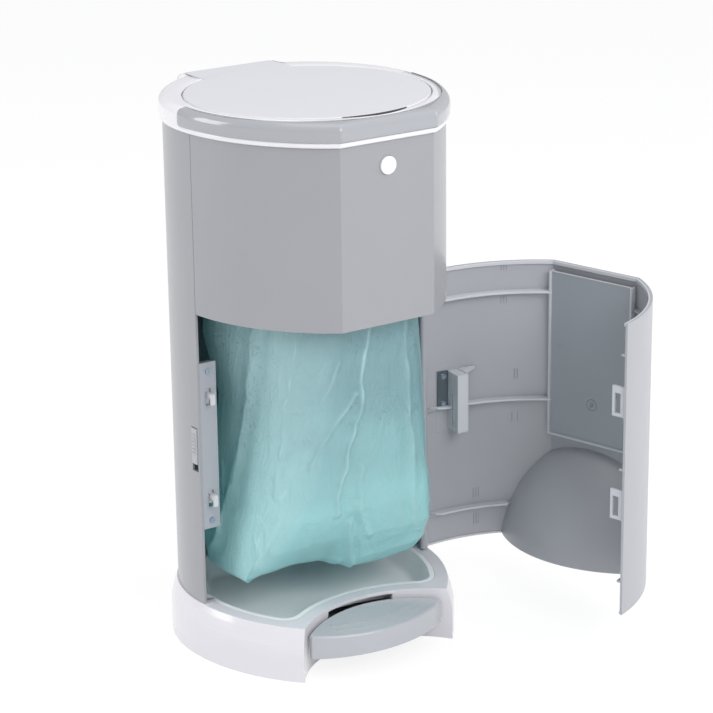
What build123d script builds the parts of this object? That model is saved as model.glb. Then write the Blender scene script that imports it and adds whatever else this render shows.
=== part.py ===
"""Step-on litter disposal pail with its front door standing open.

Millimetres. The origin is on the floor at the centre of the round back, +Z is up and the
flat front face looks along -Y. The door is hinged on the +X side. Its pieces are drawn in
the closed position and placed by door_plane, which carries the opening angle.
"""

import os
from math import acos, asin, cos, degrees, pi, radians, sin, sqrt

from build123d import *

# ---- Plan of the body -------------------------------------------------------------------
body_radius = 158.0  # round back, and half the width across the sides
bow_radius = 210.0  # bowed front sides
face_depth = 176.0  # axis to the flat front face
spine_half_width = 66.0  # flat spine at the back, over the lift rod
spine_depth = body_radius  # the spine stands as far back as the round back would
wall = 3.0
seam_y = -16.6  # front edge of the back shell on the latch side
seam_gap = 0.6
fit_gap = 0.3  # between pieces that sit in or on each other
shaft_clearance = 0.06  # radial, for pins and rods that turn or slide in holes

# ---- Heights ----------------------------------------------------------------------------
overall_height = 660.0
deck_height = 64.5  # top of the base, where the shell stands
door_gap = 2.0
door_height = 354.0
panel_gap = 1.5
collar_height = 22.5
lid_thickness = 4.5
lid_gap = 0.5

door_bottom = deck_height + door_gap
door_top = door_bottom + door_height
panel_bottom = door_top + panel_gap
lid_bottom = overall_height - lid_thickness
collar_top = lid_bottom - lid_gap
collar_bottom = collar_top - collar_height
shell_top = collar_bottom - fit_gap

# ---- Well: everything round the waste opening --------------------------------------------
lid_side_margin = 16.0  # lid's rim to the body's sides
lid_end_margin = 25.0  # lid's rim to the front face and the spine, on average
rim_width = 12.0  # flat ring round the lid
bumper_width = 6.0  # bumper in front of that ring
mouth_overhang = 26.0  # of the lid past the mouth
funnel_run = 24.0  # mouth to the funnel's round floor
throat_margin_x = 26.0
throat_margin_y = 30.0
throat_round = 8.0
chute_wall = 2.5
chute_sink = 4.0  # chute's rim below the collar's top
funnel_depth = 68.0
throat_height = 13.0
cassette_lap = 8.0  # cassette's bore past the throat
cassette_margin = 10.0  # cassette's outside within the lid's rim
cassette_height = 52.0
cassette_wall = 2.5
shelf_thickness = 3.5
shelf_drop = 68.0  # flap pins down to the shelf's top

lid_radius = min(body_radius - lid_side_margin, (face_depth + spine_depth) / 2 - lid_end_margin)
well_y = lid_radius + rim_width + bumper_width - face_depth
mouth_radius = lid_radius - mouth_overhang
throat_radius = mouth_radius - funnel_run  # bottom of the funnel, inside
throat_half_x = throat_radius - throat_margin_x
throat_half_y = throat_radius - throat_margin_y
cassette_bore = throat_radius + cassette_lap
cassette_radius = lid_radius - cassette_margin

chute_top = collar_top - chute_sink
chute_floor = chute_top - funnel_depth
throat_bottom = chute_floor - throat_height
flap_axis_z = throat_bottom + 5.5
flap_pin_x = throat_half_x - 5.0
flap_pin_radius = 1.6
flap_thickness = 2.5
flap_barrel = 3.5
flap_knuckle = throat_half_y - 12.0  # half the length of a flap's barrel
shelf_top = flap_axis_z - shelf_drop
shelf_bottom = shelf_top - shelf_thickness

# ---- Lid, crank, rod and pedal -----------------------------------------------------------
lid_travel = 80.0
tab_half_width = spine_half_width - 6.0
lid_axis_inset = 9.0
lid_axis_drop = 6.0
crank_length = 20.0
roller_radius = 4.0
rod_radius = 3.0
rod_play = 0.8  # slack where the crank's roller stands over the rod
head_half = 8.5  # rod's head, between the crank's arms
crank_arm = 3.5  # thickness of each of the crank's arms
guide_half = 14.0  # way of the rod's head through the collar, and the rod's guide
guide_drop = 34.0  # rod's top down to the guide's top
pivot_y = -60.0
pivot_z = 13.0
pin_radius = 2.5
barrel_radius = 4.8

lid_axis_y = spine_depth - lid_axis_inset
lid_axis_z = collar_top - lid_axis_drop
crank_y = lid_axis_y - crank_length * cos(radians(lid_travel / 2))
crank_z = lid_axis_z - crank_length * sin(radians(lid_travel / 2))
rod_top = crank_z - roller_radius - rod_play
rod_lift = 2 * crank_length * sin(radians(lid_travel / 2))
pedal_travel = degrees(asin(rod_lift / (crank_y - pivot_y)))

# ---- Toe space: pedal, base recess and the dome in the door -------------------------------
recess_reach = 74.9  # front face to the recess's axis at deck height
recess_reach_floor = 44.8
recess_radius = 144.9  # recess in the base at deck height
recess_radius_floor = 125.8
dome_radius = 161.0
dome_drop = 15.9  # dome's centre below the deck
pedal_setback = 2.6  # pedal's bowed front behind the front face
pedal_half_width = 92.0
pedal_height = 33.0
pedal_drop = 7.5  # pedal's top edge below the deck
pedal_slope = 6.0
pedal_wall = 3.5
lever_thickness = 6.0
lever_arm_out = 38.0
lever_arm_in = 29.0

recess_y = -(face_depth + recess_reach)
recess_y_floor = -(face_depth + recess_reach_floor)
dome_z = deck_height - dome_drop
pedal_front_radius = face_depth - pedal_setback
pedal_high = deck_height - pedal_drop
pedal_low = pedal_high - pedal_height

# ---- Base --------------------------------------------------------------------------------
base_flare = 9.0
skirt_height = 34.0
shoulder_flare = 1.5
deck_thickness = 4.0
plate_thickness = 3.0
tray_margin = 14.0
tray_lip = 16.0
tray_back_margin = 46.0  # tray's straight back edge to the spine's outside
tray_flange = 2.0
basin_depth = 23.5
basin_wall = 2.5
basin_slope = 15.0

tray_back = spine_depth - tray_back_margin
basin_floor = deck_height - basin_depth

# ---- Door and its hinge -------------------------------------------------------------------
door_open_angle = 105.0
hinge_inset = 7.5  # hinge axis within the body's side
hinge_y = -31.0
hinge_bead = 4.8
rib_end = 39.5  # outer ribs to the door's ends
rib_depth = 5.0
rib_thickness = 2.4
pocket_top_margin = 10.5
pocket_dome_gap = 9.6  # pocket's foot below the dome's highest point
pocket_depth = 16.0
pocket_wall = 2.4

hinge_x = body_radius - hinge_inset
rib_middle = (door_bottom + door_top) / 2
rib_heights = (door_top - rib_end, rib_middle, door_bottom + rib_end)
pocket_low = dome_z + dome_radius - pocket_dome_gap
pocket_high = door_top - pocket_top_margin

# ---- Door latch ---------------------------------------------------------------------------
latch_foot = 91.5  # latch plate's foot over the door's
latch_head = 58.5  # latch plate's head below the door's
latch_plate_width = 22.5
latch_plate_gap = 3.7  # plate's outer edge to the body's outside
latch_plate_thickness = 2.0
latch_travel = 8.0
lower_hook_rise = 40.0
upper_hook_drop = 39.0
hook_inset = 12.0  # hook's outer side within the body's side
hook_width = 5.0
hook_reach = 11.5
slider_length = 44.0
slider_width = 11.0
slider_setback = 4.1  # slider's front edge behind the seam

latch_low = door_bottom + latch_foot
latch_high = door_top - latch_head
latch_plate_outer = latch_plate_gap - body_radius
latch_plate_inner = latch_plate_outer + latch_plate_width - 0.7
hook_heights = (latch_low + lower_hook_rise, latch_high - upper_hook_drop)
hook_x = (hook_inset - body_radius, hook_inset + hook_width - body_radius)
slider_middle = (latch_low + latch_high) / 2

# ---- Film cutter on the door ---------------------------------------------------------------
cutter_angle = 20.0
cutter_drop = 29.5  # cutter's foot below the door's middle rib
cutter_height = 76.0
cutter_depth = 26.0
cutter_width = 15.0
cutter_slot = 1.6

cutter_low = rib_middle - cutter_drop
cutter_high = cutter_low + cutter_height

# ---- Top release ----------------------------------------------------------------------------
button_radius = 10.5
button_drop = 27.8  # button's middle below the collar
button_proud = 2.6
stem_radius = 4.0
stem_setback = 21.7  # stem's end behind the front face
top_axis_out = 6.5

button_z = collar_bottom - button_drop
stem_end = face_depth - stem_setback

# ---- Bag ------------------------------------------------------------------------------------
film = 1.0
bag_fold = 14.8  # bag's end inside the cassette's bore, from the cassette's top


# ---- Shared outlines and small tools --------------------------------------------------------
def flat_half(inset=0.0):
    """Half the width of the flat front, or of the wall's inside behind it."""
    bow = bow_radius - inset
    return sqrt(bow**2 - (face_depth - inset) ** 2) - (bow_radius - body_radius)


def plan_outline(inset=0.0, mode=Mode.ADD):
    """Face of the body's plan: round back with a flat spine, bowed sides, flat front."""
    side = body_radius - inset
    bow = bow_radius - inset
    bow_shift = bow_radius - body_radius
    face_y = -(face_depth - inset)
    bow_angle = degrees(asin(-face_y / bow))
    face_half = flat_half(inset)
    spine_half = spine_half_width - inset
    spine_y = spine_depth - inset
    back_angle = degrees(acos(spine_half / side))
    spine_start = side * sin(radians(back_angle))
    with BuildLine() as edge:
        CenterArc((0, 0), side, 0, back_angle)
        Polyline(
            (spine_half, spine_start),
            (spine_half, spine_y),
            (-spine_half, spine_y),
            (-spine_half, spine_start),
        )
        CenterArc((0, 0), side, 180 - back_angle, back_angle)
        CenterArc((bow_shift, 0), bow, 180, bow_angle)
        Line((-face_half, face_y), (face_half, face_y))
        CenterArc((-bow_shift, 0), bow, 360 - bow_angle, bow_angle)
    make_face(edge.edges(), mode=mode)


def plan_prism(low, high, inset=0.0, plane=Plane.XY, mode=Mode.ADD):
    """Upright solid of the body's plan."""
    with BuildSketch(plane.offset(low)) as shape:
        plan_outline(inset)
    extrude(shape.sketch, amount=high - low, mode=mode)


def plan_wall(low, high, inset, thickness, plane=Plane.XY):
    """Upright wall that follows the body's plan."""
    with BuildSketch(plane.offset(low)) as shape:
        plan_outline(inset)
        plan_outline(inset + thickness, Mode.SUBTRACT)
    extrude(shape.sketch, amount=high - low)


def block(x, y, z, plane=Plane.XY, mode=Mode.ADD):
    """Box between pairs of x, y and z in the plane's own axes."""
    with BuildSketch(plane.offset(z[0])) as shape:
        with Locations(((x[0] + x[1]) / 2, (y[0] + y[1]) / 2)):
            Rectangle(x[1] - x[0], y[1] - y[0])
    extrude(shape.sketch, amount=z[1] - z[0], mode=mode)


def rod(radius, centre, span, plane=Plane.XY, mode=Mode.ADD):
    """Round bar along the plane's normal, from span[0] to span[1]."""
    with BuildSketch(plane.offset(span[0])) as shape:
        with Locations(centre):
            Circle(radius)
    extrude(shape.sketch, amount=span[1] - span[0], mode=mode)


def ring(outer, inner, centre, span, plane=Plane.XY, mode=Mode.ADD):
    """Tube along the plane's normal."""
    with BuildSketch(plane.offset(span[0])) as shape:
        with Locations(centre):
            Circle(outer)
            Circle(inner, mode=Mode.SUBTRACT)
    extrude(shape.sketch, amount=span[1] - span[0], mode=mode)


def turned(*points):
    """Ring turned about the well's axis from (radius, height) corners."""
    with BuildSketch(Plane.XZ.offset(-well_y)) as shape:
        with BuildLine():
            Polyline(*points, close=True)
        make_face()
    revolve(shape.sketch, axis=Axis((0, well_y, 0), (0, 0, 1)))


def toe_recess(grow, low, high):
    """Leaning round wall of the toe recess, grown by a wall or a gap."""
    circles = []
    for level in (low, high):
        share = level / deck_height
        centre_y = recess_y_floor + (recess_y - recess_y_floor) * share
        radius = recess_radius_floor + (recess_radius - recess_radius_floor) * share
        with BuildSketch(Plane.XY.offset(level)) as shape:
            with Locations((0, centre_y)):
                Circle(radius + grow)
        circles.append(shape.sketch)
    loft(circles, ruled=True)


def tray_shape(level, inset, corner):
    """Kidney outline of the floor tray: two front lobes pinched by the toe recess."""
    with BuildSketch(Plane.XY.offset(level)) as shape:
        plan_outline(tray_margin + inset)
        with Locations((0, recess_y)):
            Circle(recess_radius + tray_lip + inset, mode=Mode.SUBTRACT)
        with Locations((0, tray_back - inset + body_radius)):
            Rectangle(4 * body_radius, 2 * body_radius, mode=Mode.SUBTRACT)
        fillet(shape.vertices().filter_by(lambda v: abs(v.Y) > body_radius / 4), corner)
    return shape.sketch


def tray_prism(low, high, inset, corner, mode=Mode.ADD):
    """Upright solid of the tray's outline with rounded lobes."""
    extrude(tray_shape(low, inset, corner), amount=high - low, mode=mode)


def tray_bowl(low, high, low_inset, high_inset, corner):
    """Sloping body of the tray's basin."""
    loft([tray_shape(low, low_inset, corner), tray_shape(high, high_inset, corner)], ruled=True)


def mirrored(side, near, far):
    """Range of x between near and far on the side given by its sign."""
    return tuple(sorted((side * near, side * far)))


def finish(part, name):
    """Label a finished piece and write it."""
    part.label = name
    export_step(part, f"parts/{name}.step")


os.makedirs("parts", exist_ok=True)
side_plane = Plane.YZ  # bars along X: centres are (y, z)
front_plane = Plane.XZ  # bars along -Y: centres are (x, z), spans run forwards
turn_cos = cos(radians(door_open_angle))
turn_sin = sin(radians(door_open_angle))
door_plane = Plane(
    origin=(
        hinge_x - turn_cos * hinge_x + turn_sin * hinge_y,
        hinge_y - turn_sin * hinge_x - turn_cos * hinge_y,
        0,
    ),
    x_dir=(turn_cos, turn_sin, 0),
    z_dir=(0, 0, 1),
)
shell_edge_y = hinge_y + 8.5  # hinge side, clear of the open door
reach = 3 * body_radius  # longer than anything it cuts

# ---- Base ------------------------------------------------------------------------------------
screw_far = body_radius - 8
screw_near = body_radius - 26
screw_spots = ((screw_far, 38), (-screw_far, 38), (screw_near, -94), (-screw_near, -94))
screw_radius = 2.0


def base_form(inset, top):
    """Base body between floor and deck, moved inwards by inset."""
    plan_prism(0, skirt_height, inset - base_flare)
    sections = []
    for share in (0, 0.25, 0.5, 0.75, 1):
        flare = shoulder_flare + (base_flare - shoulder_flare) * cos(share * pi / 2)
        level = skirt_height + (top - skirt_height) * share
        with BuildSketch(Plane.XY.offset(level)) as shape:
            plan_outline(inset - flare)
        sections.append(shape.sketch)
    loft(sections, ruled=True)


with BuildPart() as recess_tool:
    toe_recess(0, -1, deck_height + 1)

with BuildPart() as recess_wall_tool:
    toe_recess(wall, -1, deck_height + 1)

with BuildPart() as base_cavity:
    base_form(wall, deck_height - deck_thickness)
    add(recess_wall_tool.part, mode=Mode.SUBTRACT)

with BuildPart() as base_housing:
    base_form(0, deck_height)
    add(recess_tool.part, mode=Mode.SUBTRACT)
    add(base_cavity.part, mode=Mode.SUBTRACT)
    tray_prism(deck_height - tray_flange, deck_height + 1, -fit_gap, 24, Mode.SUBTRACT)
    tray_prism(deck_height - deck_thickness - 1, deck_height, 4, 20, Mode.SUBTRACT)
    block(
        (-lever_arm_out - 8, lever_arm_out + 8),
        (recess_y + recess_radius - 12, recess_y_floor + recess_radius_floor + 12),
        (-1, pedal_high + 3),
        mode=Mode.SUBTRACT,
    )
    rod(rod_radius + 2, (0, crank_y), (0, deck_height), mode=Mode.SUBTRACT)
    for spot in screw_spots:
        with BuildSketch(Plane.XY.offset(plate_thickness)):
            with Locations(spot):
                Circle(5)
                Circle(screw_radius + shaft_clearance, mode=Mode.SUBTRACT)
        extrude(amount=deck_height - deck_thickness - plate_thickness)
    rod(
        pin_radius + shaft_clearance,
        (hinge_x, hinge_y),
        (deck_height - deck_thickness, deck_height + 1),
        mode=Mode.SUBTRACT,
    )
finish(base_housing.part, "base_housing")

with BuildPart() as base_plate:
    plan_prism(0, plate_thickness, -base_flare + wall + fit_gap)
    with BuildSketch(Plane.XY):
        with Locations((0, recess_y_floor)):
            Circle(recess_radius_floor + wall + fit_gap)
    extrude(amount=plate_thickness, mode=Mode.SUBTRACT)
    for spot in screw_spots:
        rod(screw_radius + fit_gap, spot, (0, plate_thickness), mode=Mode.SUBTRACT)
        rod(4.3, spot, (0, 2), mode=Mode.SUBTRACT)
    for side in (-1, 1):
        bearing = mirrored(side, lever_arm_out + 1, lever_arm_out + 7)
        block(
            bearing,
            (pivot_y - 7, pivot_y + 7),
            (plate_thickness, pivot_z),
        )
        rod(7, (pivot_y, pivot_z), bearing, side_plane)
    rod(pin_radius, (pivot_y, pivot_z), (-reach, reach), side_plane, Mode.SUBTRACT)
finish(base_plate.part, "base_plate")

with BuildPart() as base_screws:
    for spot in screw_spots:
        rod(4.0, spot, (0.2, 2))
        rod(screw_radius, spot, (2, 16))
finish(base_screws.part, "base_screws")

with BuildPart() as pedal_pin:
    rod(
        pin_radius,
        (pivot_y, pivot_z),
        (-lever_arm_out - 7, lever_arm_out + 7),
        side_plane,
    )
finish(pedal_pin.part, "pedal_pin")

with BuildPart() as basin_hollow:
    tray_bowl(basin_floor, deck_height, 6 + basin_slope, 6, 18)
    fillet(basin_hollow.faces().sort_by(Axis.Z)[0].edges(), 9)

with BuildPart() as floor_tray:
    tray_bowl(
        basin_floor - basin_wall,
        deck_height - tray_flange,
        5 + basin_slope - basin_wall,
        5,
        18,
    )
    fillet(floor_tray.faces().sort_by(Axis.Z)[0].edges(), 10)
    tray_prism(deck_height - tray_flange, deck_height, 0, 24)
    add(basin_hollow.part, mode=Mode.SUBTRACT)
finish(floor_tray.part, "floor_tray")

# ---- Body shell --------------------------------------------------------------------------------
slot_x = -body_radius
slider_y = (seam_y + slider_setback, seam_y + slider_setback + slider_width)
lug_in = spine_half_width - 36
lug_out = spine_half_width - 16
screw_heights = (latch_low + 10, latch_high - 11)
screw_x = (hook_x[0] + hook_x[1]) / 2

with BuildPart() as back_shell:
    plan_wall(deck_height, shell_top, 0, wall)
    block((-reach, 0), (-reach, seam_y), (0, reach * 2), mode=Mode.SUBTRACT)
    block((0, reach), (-reach, shell_edge_y), (0, reach * 2), mode=Mode.SUBTRACT)
    # foot of the latch-side edge
    block((1.5 - body_radius, 15 - body_radius), (seam_y, seam_y + 6), (deck_height, deck_height + 3))
    # bosses behind the latch plate
    for height in screw_heights:
        block(
            (1.5 - body_radius, latch_plate_inner - 1.5),
            (seam_y + latch_plate_thickness, seam_y + 12),
            (height - 9, height + 9),
        )
        rod(
            1.6 + shaft_clearance,
            (screw_x, height),
            (-(seam_y + 11), -(seam_y + 2)),
            front_plane,
            Mode.SUBTRACT,
        )
    # slot of the release slider
    block(
        (slot_x - 5, slot_x + 2 * wall),
        (slider_y[0] - 0.5, slider_y[1] + 0.5),
        (
            slider_middle - slider_length / 2 - latch_travel - 1,
            slider_middle + slider_length / 2 + 1,
        ),
        mode=Mode.SUBTRACT,
    )
    # ledges under the cassette shelf
    for side in (-1, 1):
        ledge = mirrored(side, body_radius - 18, body_radius - 7.5)
        block(ledge, (20, 44), (shelf_bottom - 6, shelf_bottom))
    # lugs of the top's hinge
    for side in (-1, 1):
        lug = mirrored(side, lug_in, lug_out)
        rod(barrel_radius, (spine_depth + top_axis_out, shell_top), lug, side_plane)
        block(
            lug,
            (spine_depth - 1.5, spine_depth + top_axis_out),
            (shell_top - 12, shell_top - 0.3),
        )
    rod(
        pin_radius,
        (spine_depth + top_axis_out, shell_top),
        (-reach, reach),
        side_plane,
        Mode.SUBTRACT,
    )
finish(back_shell.part, "back_shell")

cup_depth = 16.0
cup_wall = 2.0
ledge_z = button_z - 15
catch_y = -(face_depth - 26)

with BuildPart() as front_panel:
    plan_wall(panel_bottom, shell_top, 0, wall)
    block((-reach, 0), (seam_y - seam_gap, reach), (0, reach * 2), mode=Mode.SUBTRACT)
    block((0, reach), (shell_edge_y - seam_gap, reach), (0, reach * 2), mode=Mode.SUBTRACT)
    # cup behind the release button
    rod(
        button_radius + fit_gap + cup_wall,
        (0, button_z),
        (face_depth - wall - cup_depth, face_depth - wall + 0.5),
        front_plane,
    )
    rod(
        button_radius + fit_gap,
        (0, button_z),
        (face_depth - wall - cup_depth + cup_wall, face_depth + 5),
        front_plane,
        Mode.SUBTRACT,
    )
    rod(stem_radius + shaft_clearance, (0, button_z), (0, face_depth), front_plane, Mode.SUBTRACT)
    # ledges that the top's catch hooks under
    for side in (-1, 1):
        block(
            mirrored(side, 6, 10),
            (-face_depth + wall - 0.5, catch_y - 4.6),
            (ledge_z, ledge_z + 3),
        )
    # ear that holds the door's upper hinge pin
    rod(hinge_bead, (hinge_x, hinge_y), (panel_bottom, panel_bottom + 12))
    rod(
        pin_radius,
        (hinge_x, hinge_y),
        (panel_bottom - 1, panel_bottom + 9),
        mode=Mode.SUBTRACT,
    )
finish(front_panel.part, "front_panel")

guide_front = crank_y - 12.0
guide_top = rod_top - guide_drop

with BuildPart() as rod_guide:
    block(
        (-guide_half, guide_half),
        (guide_front, spine_depth - wall - fit_gap),
        (deck_height + fit_gap, guide_top),
    )
    block(
        (2.4 - guide_half, guide_half - 2.4),
        (guide_front + 2.4, spine_depth),
        (deck_height + 6, guide_top - 6),
        mode=Mode.SUBTRACT,
    )
    rod(rod_radius + shaft_clearance, (0, crank_y), (0, reach * 2), mode=Mode.SUBTRACT)
finish(rod_guide.part, "rod_guide")

with BuildPart() as cassette_shelf:
    plan_prism(shelf_bottom, shelf_top, wall + fit_gap)
    rod(cassette_bore + 1, (0, well_y), (0, reach * 2), mode=Mode.SUBTRACT)
    block(
        (-guide_half - 1, guide_half + 1),
        (guide_front - 1, reach),
        (0, reach * 2),
        mode=Mode.SUBTRACT,
    )
    ring(
        cassette_bore + 3.5,
        cassette_bore + 1,
        (0, well_y),
        (shelf_bottom - 6, shelf_bottom),
    )
finish(cassette_shelf.part, "cassette_shelf")

cassette_low = shelf_top + fit_gap
cassette_high = cassette_low + cassette_height

with BuildPart() as liner_cassette:
    turned(
        (cassette_bore, cassette_low),
        (cassette_radius, cassette_low),
        (cassette_radius, cassette_high),
        (cassette_radius - 7, cassette_high),
        (cassette_radius - 7, cassette_high - cassette_wall),
        (cassette_radius - cassette_wall, cassette_high - cassette_wall),
        (cassette_radius - cassette_wall, cassette_low + cassette_wall),
        (cassette_bore + cassette_wall, cassette_low + cassette_wall),
        (cassette_bore + cassette_wall, cassette_high - 6),
        (cassette_bore, cassette_high - 6),
    )
finish(liner_cassette.part, "liner_cassette")

film_gap = cassette_wall + fit_gap

with BuildPart() as film_pack:
    turned(
        (cassette_bore + film_gap, cassette_low + film_gap),
        (cassette_radius - film_gap, cassette_low + film_gap),
        (cassette_radius - film_gap, cassette_high - 9),
        (cassette_bore + film_gap, cassette_high - 9),
    )
finish(film_pack.part, "film_pack")

# ---- Bag -----------------------------------------------------------------------------------------
bag_ring = cassette_bore - 0.9
bag_top = cassette_high - bag_fold
bag_neck_front = well_y - bag_ring
bag_neck_back = well_y + bag_ring
# height, half width, front, back, corner radius
bag_sections = (
    (bag_top, bag_ring, bag_neck_front, bag_neck_back, bag_ring - 1.5),
    (shelf_bottom - 6, bag_ring, bag_neck_front, bag_neck_back, bag_ring - 1.5),
    (shelf_bottom - 84, bag_ring + 2, bag_neck_front - 23, bag_neck_back - 13, bag_ring - 29),
    (shelf_bottom - 204, bag_ring + 7, bag_neck_front - 21, bag_neck_back - 8, bag_ring - 37),
    (deck_height + 135, bag_ring + 10, bag_neck_front - 13, bag_neck_back - 7, bag_ring - 41),
    (deck_height + 76, bag_ring + 23, bag_neck_front + 5, bag_neck_back - 11, bag_ring - 51),
    (deck_height + 48, bag_ring + 27, bag_neck_front + 20, bag_neck_back - 22, bag_ring - 62),
    (deck_height + 34, bag_ring + 22, bag_neck_front + 28, bag_neck_back - 27, bag_ring - 65),
    (deck_height + 26, bag_ring + 5, bag_neck_front + 43, bag_neck_back - 38, bag_ring - 69),
)


def bag_form(inset, floor_lift):
    """Hanging bag, open at the top, moved inwards by inset."""
    last = len(bag_sections) - 1
    sections = []
    for number, (height, half, front, back, corner) in enumerate(bag_sections):
        level = height + (floor_lift if number == last else 0)
        with BuildSketch(Plane.XY.offset(level)) as shape:
            with Locations((0, (front + back) / 2)):
                RectangleRounded(
                    2 * (half - inset),
                    back - front - 2 * inset,
                    corner - inset,
                )
        sections.append(shape.sketch)
    loft(sections, ruled=True)


with BuildPart() as bag_hollow:
    bag_form(film, 2 * film)

with BuildPart() as liner_bag:
    bag_form(0, 0)
    add(bag_hollow.part, mode=Mode.SUBTRACT)
finish(liner_bag.part, "liner_bag")

# ---- Door latch in the shell ------------------------------------------------------------------------
plate_front = -seam_y
plate_back = plate_front - latch_plate_thickness

with BuildPart() as latch_plate:
    block(
        (latch_plate_outer, latch_plate_inner),
        (latch_low, latch_high),
        (plate_back, plate_front),
        front_plane,
    )
    for height in hook_heights:
        block(
            (hook_x[0] - 1, hook_x[1] + 1),
            (height - 13, height + 7),
            (0, reach),
            front_plane,
            Mode.SUBTRACT,
        )
    for height in screw_heights:
        rod(1.6 + fit_gap, (screw_x, height), (0, reach), front_plane, Mode.SUBTRACT)
finish(latch_plate.part, "latch_plate")

with BuildPart() as latch_screws:
    for height in screw_heights:
        rod(3.4, (screw_x, height), (plate_front + 0.1, plate_front + 1.6), front_plane)
        rod(1.6, (screw_x, height), (plate_front - 9, plate_front + 0.2), front_plane)
        rod(0.9, (screw_x, height), (plate_front + 0.8, reach), front_plane, Mode.SUBTRACT)
finish(latch_screws.part, "latch_screws")

bar_x = (hook_x[0] - 3, hook_x[1] + 2)
bar_y = (seam_y + latch_plate_thickness + 1.2, seam_y + latch_plate_thickness + 5.2)

with BuildPart() as latch_bar:
    block(bar_x, bar_y, (hook_heights[0] - 10, hook_heights[1] + 8))
    for height in hook_heights:
        block(hook_x, (seam_y - hook_reach, bar_y[1]), (height - 3, height + 3))
        block(
            hook_x,
            (seam_y - hook_reach, seam_y - hook_reach + 3.5),
            (height - 10, height + 3),
        )
        hook_tip = (
            latch_bar.edges()
            .filter_by(Axis.X)
            .filter_by(lambda e, h=height: abs(e.center().Z - h - 3) < 0.01)
            .sort_by(Axis.Y)[0]
        )
        fillet(hook_tip, 2.5)
    block(
        (slot_x + 3.5, bar_x[0]),
        (slider_y[0] + 1, slider_y[1] - 1),
        (slider_middle - 8, slider_middle + 8),
    )
finish(latch_bar.part, "latch_bar")

with BuildPart() as release_slider:
    block(
        (slot_x - 1.2, slot_x + 3.5),
        slider_y,
        (slider_middle - slider_length / 2, slider_middle + slider_length / 2),
    )
    grip_edges = release_slider.faces().sort_by(Axis.X)[0].edges()
    fillet(grip_edges, 0.8)
    for number in range(6):
        ridge_z = slider_middle - 9 + 4.4 * number
        block(
            (slot_x - 2.0, slot_x),
            (slider_y[0] + 2, slider_y[1] - 2),
            (ridge_z, ridge_z + 1.6),
        )
finish(release_slider.part, "release_slider")

# ---- Pedal, lever and lift rod ------------------------------------------------------------------------
pedal_gap = 2.2
lever_front = recess_y + recess_radius - 50
lever_high = pedal_high - pedal_wall - 6.5
lever_low = pivot_z - lever_thickness / 2
pedal_top_plane = Plane(
    origin=(0, recess_y + recess_radius, pedal_high),
    x_dir=(1, 0, 0),
    z_dir=(0, -sin(radians(pedal_slope)), cos(radians(pedal_slope))),
)


def pedal_lens(low, high, inset, mode=Mode.ADD):
    """Lens between the recess and the bowed front, moved inwards by inset."""
    with BuildSketch(Plane.XY.offset(low)) as shape:
        Circle(pedal_front_radius - inset)
        with Locations((0, recess_y)):
            Circle(recess_radius - pedal_gap - inset, mode=Mode.INTERSECT)
        Rectangle(2 * (pedal_half_width - inset), reach, mode=Mode.INTERSECT)
    extrude(shape.sketch, amount=high - low, mode=mode)


def above_pedal_top(offset, mode):
    """Space above the sloping top of the pedal, or a slab of it."""
    with BuildSketch(pedal_top_plane.offset(offset)) as shape:
        Rectangle(2 * reach, 2 * reach)
    extrude(shape.sketch, amount=reach, mode=mode)


with BuildPart() as pedal_hollow:
    pedal_lens(pedal_low - 1, pedal_high + 5, pedal_wall)
    above_pedal_top(-pedal_wall, Mode.SUBTRACT)

with BuildPart() as pedal_ridges:
    for ridge_radius in (pedal_front_radius - 12, pedal_front_radius - 24):
        ring(ridge_radius, ridge_radius - 2.2, (0, 0), (pedal_low, pedal_high + 10))
    block((-58, 58), (-reach, 0), (0, reach), mode=Mode.INTERSECT)
    above_pedal_top(-1, Mode.INTERSECT)
    above_pedal_top(1, Mode.SUBTRACT)

with BuildPart() as pedal:
    pedal_lens(pedal_low, pedal_high + 10, 0)
    above_pedal_top(0, Mode.SUBTRACT)
    fillet(pedal.faces().sort_by(Axis.Z)[-1].edges(), 3)
    add(pedal_ridges.part)
    add(pedal_hollow.part, mode=Mode.SUBTRACT)
    # way in for the lever's arms
    block(
        (-lever_arm_out - 2, lever_arm_out + 2),
        (recess_y + recess_radius - 14, 0),
        (0, pedal_high - 9),
        mode=Mode.SUBTRACT,
    )
    # bosses that stand on the lever
    for side in (-1, 1):
        rod(5, (side * (lever_arm_in + 4), lever_front + 11), (lever_high, lever_high + 4))
finish(pedal.part, "pedal")

with BuildPart() as pedal_lever:
    for side in (-1, 1):
        arm = mirrored(side, lever_arm_in, lever_arm_out)
        with BuildSketch(side_plane.offset(arm[0])):
            with BuildLine():
                Polyline(
                    (lever_front, lever_high),
                    (lever_front, lever_high - lever_thickness),
                    (pivot_y - 54, lever_high - lever_thickness),
                    (pivot_y - 22, lever_low),
                    (crank_y + 8, lever_low),
                    (crank_y + 8, lever_low + lever_thickness),
                    (pivot_y - 19, lever_low + lever_thickness),
                    (pivot_y - 50, lever_high),
                    close=True,
                )
            make_face()
            with Locations((pivot_y, pivot_z)):
                Circle(7)
        extrude(amount=arm[1] - arm[0])
    block(
        (-lever_arm_out, lever_arm_out),
        (crank_y - 8, crank_y + 8),
        (lever_low, lever_low + lever_thickness),
    )
    block(
        (-lever_arm_out, lever_arm_out),
        (lever_front, lever_front + 22),
        (lever_high - lever_thickness, lever_high),
    )
    rod(
        pin_radius + shaft_clearance,
        (pivot_y, pivot_z),
        (-reach, reach),
        side_plane,
        Mode.SUBTRACT,
    )
finish(pedal_lever.part, "pedal_lever")

with BuildPart() as lift_rod:
    rod(rod_radius, (0, crank_y), (lever_low + lever_thickness + rod_play, rod_top - 3))
finish(lift_rod.part, "lift_rod")

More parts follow.
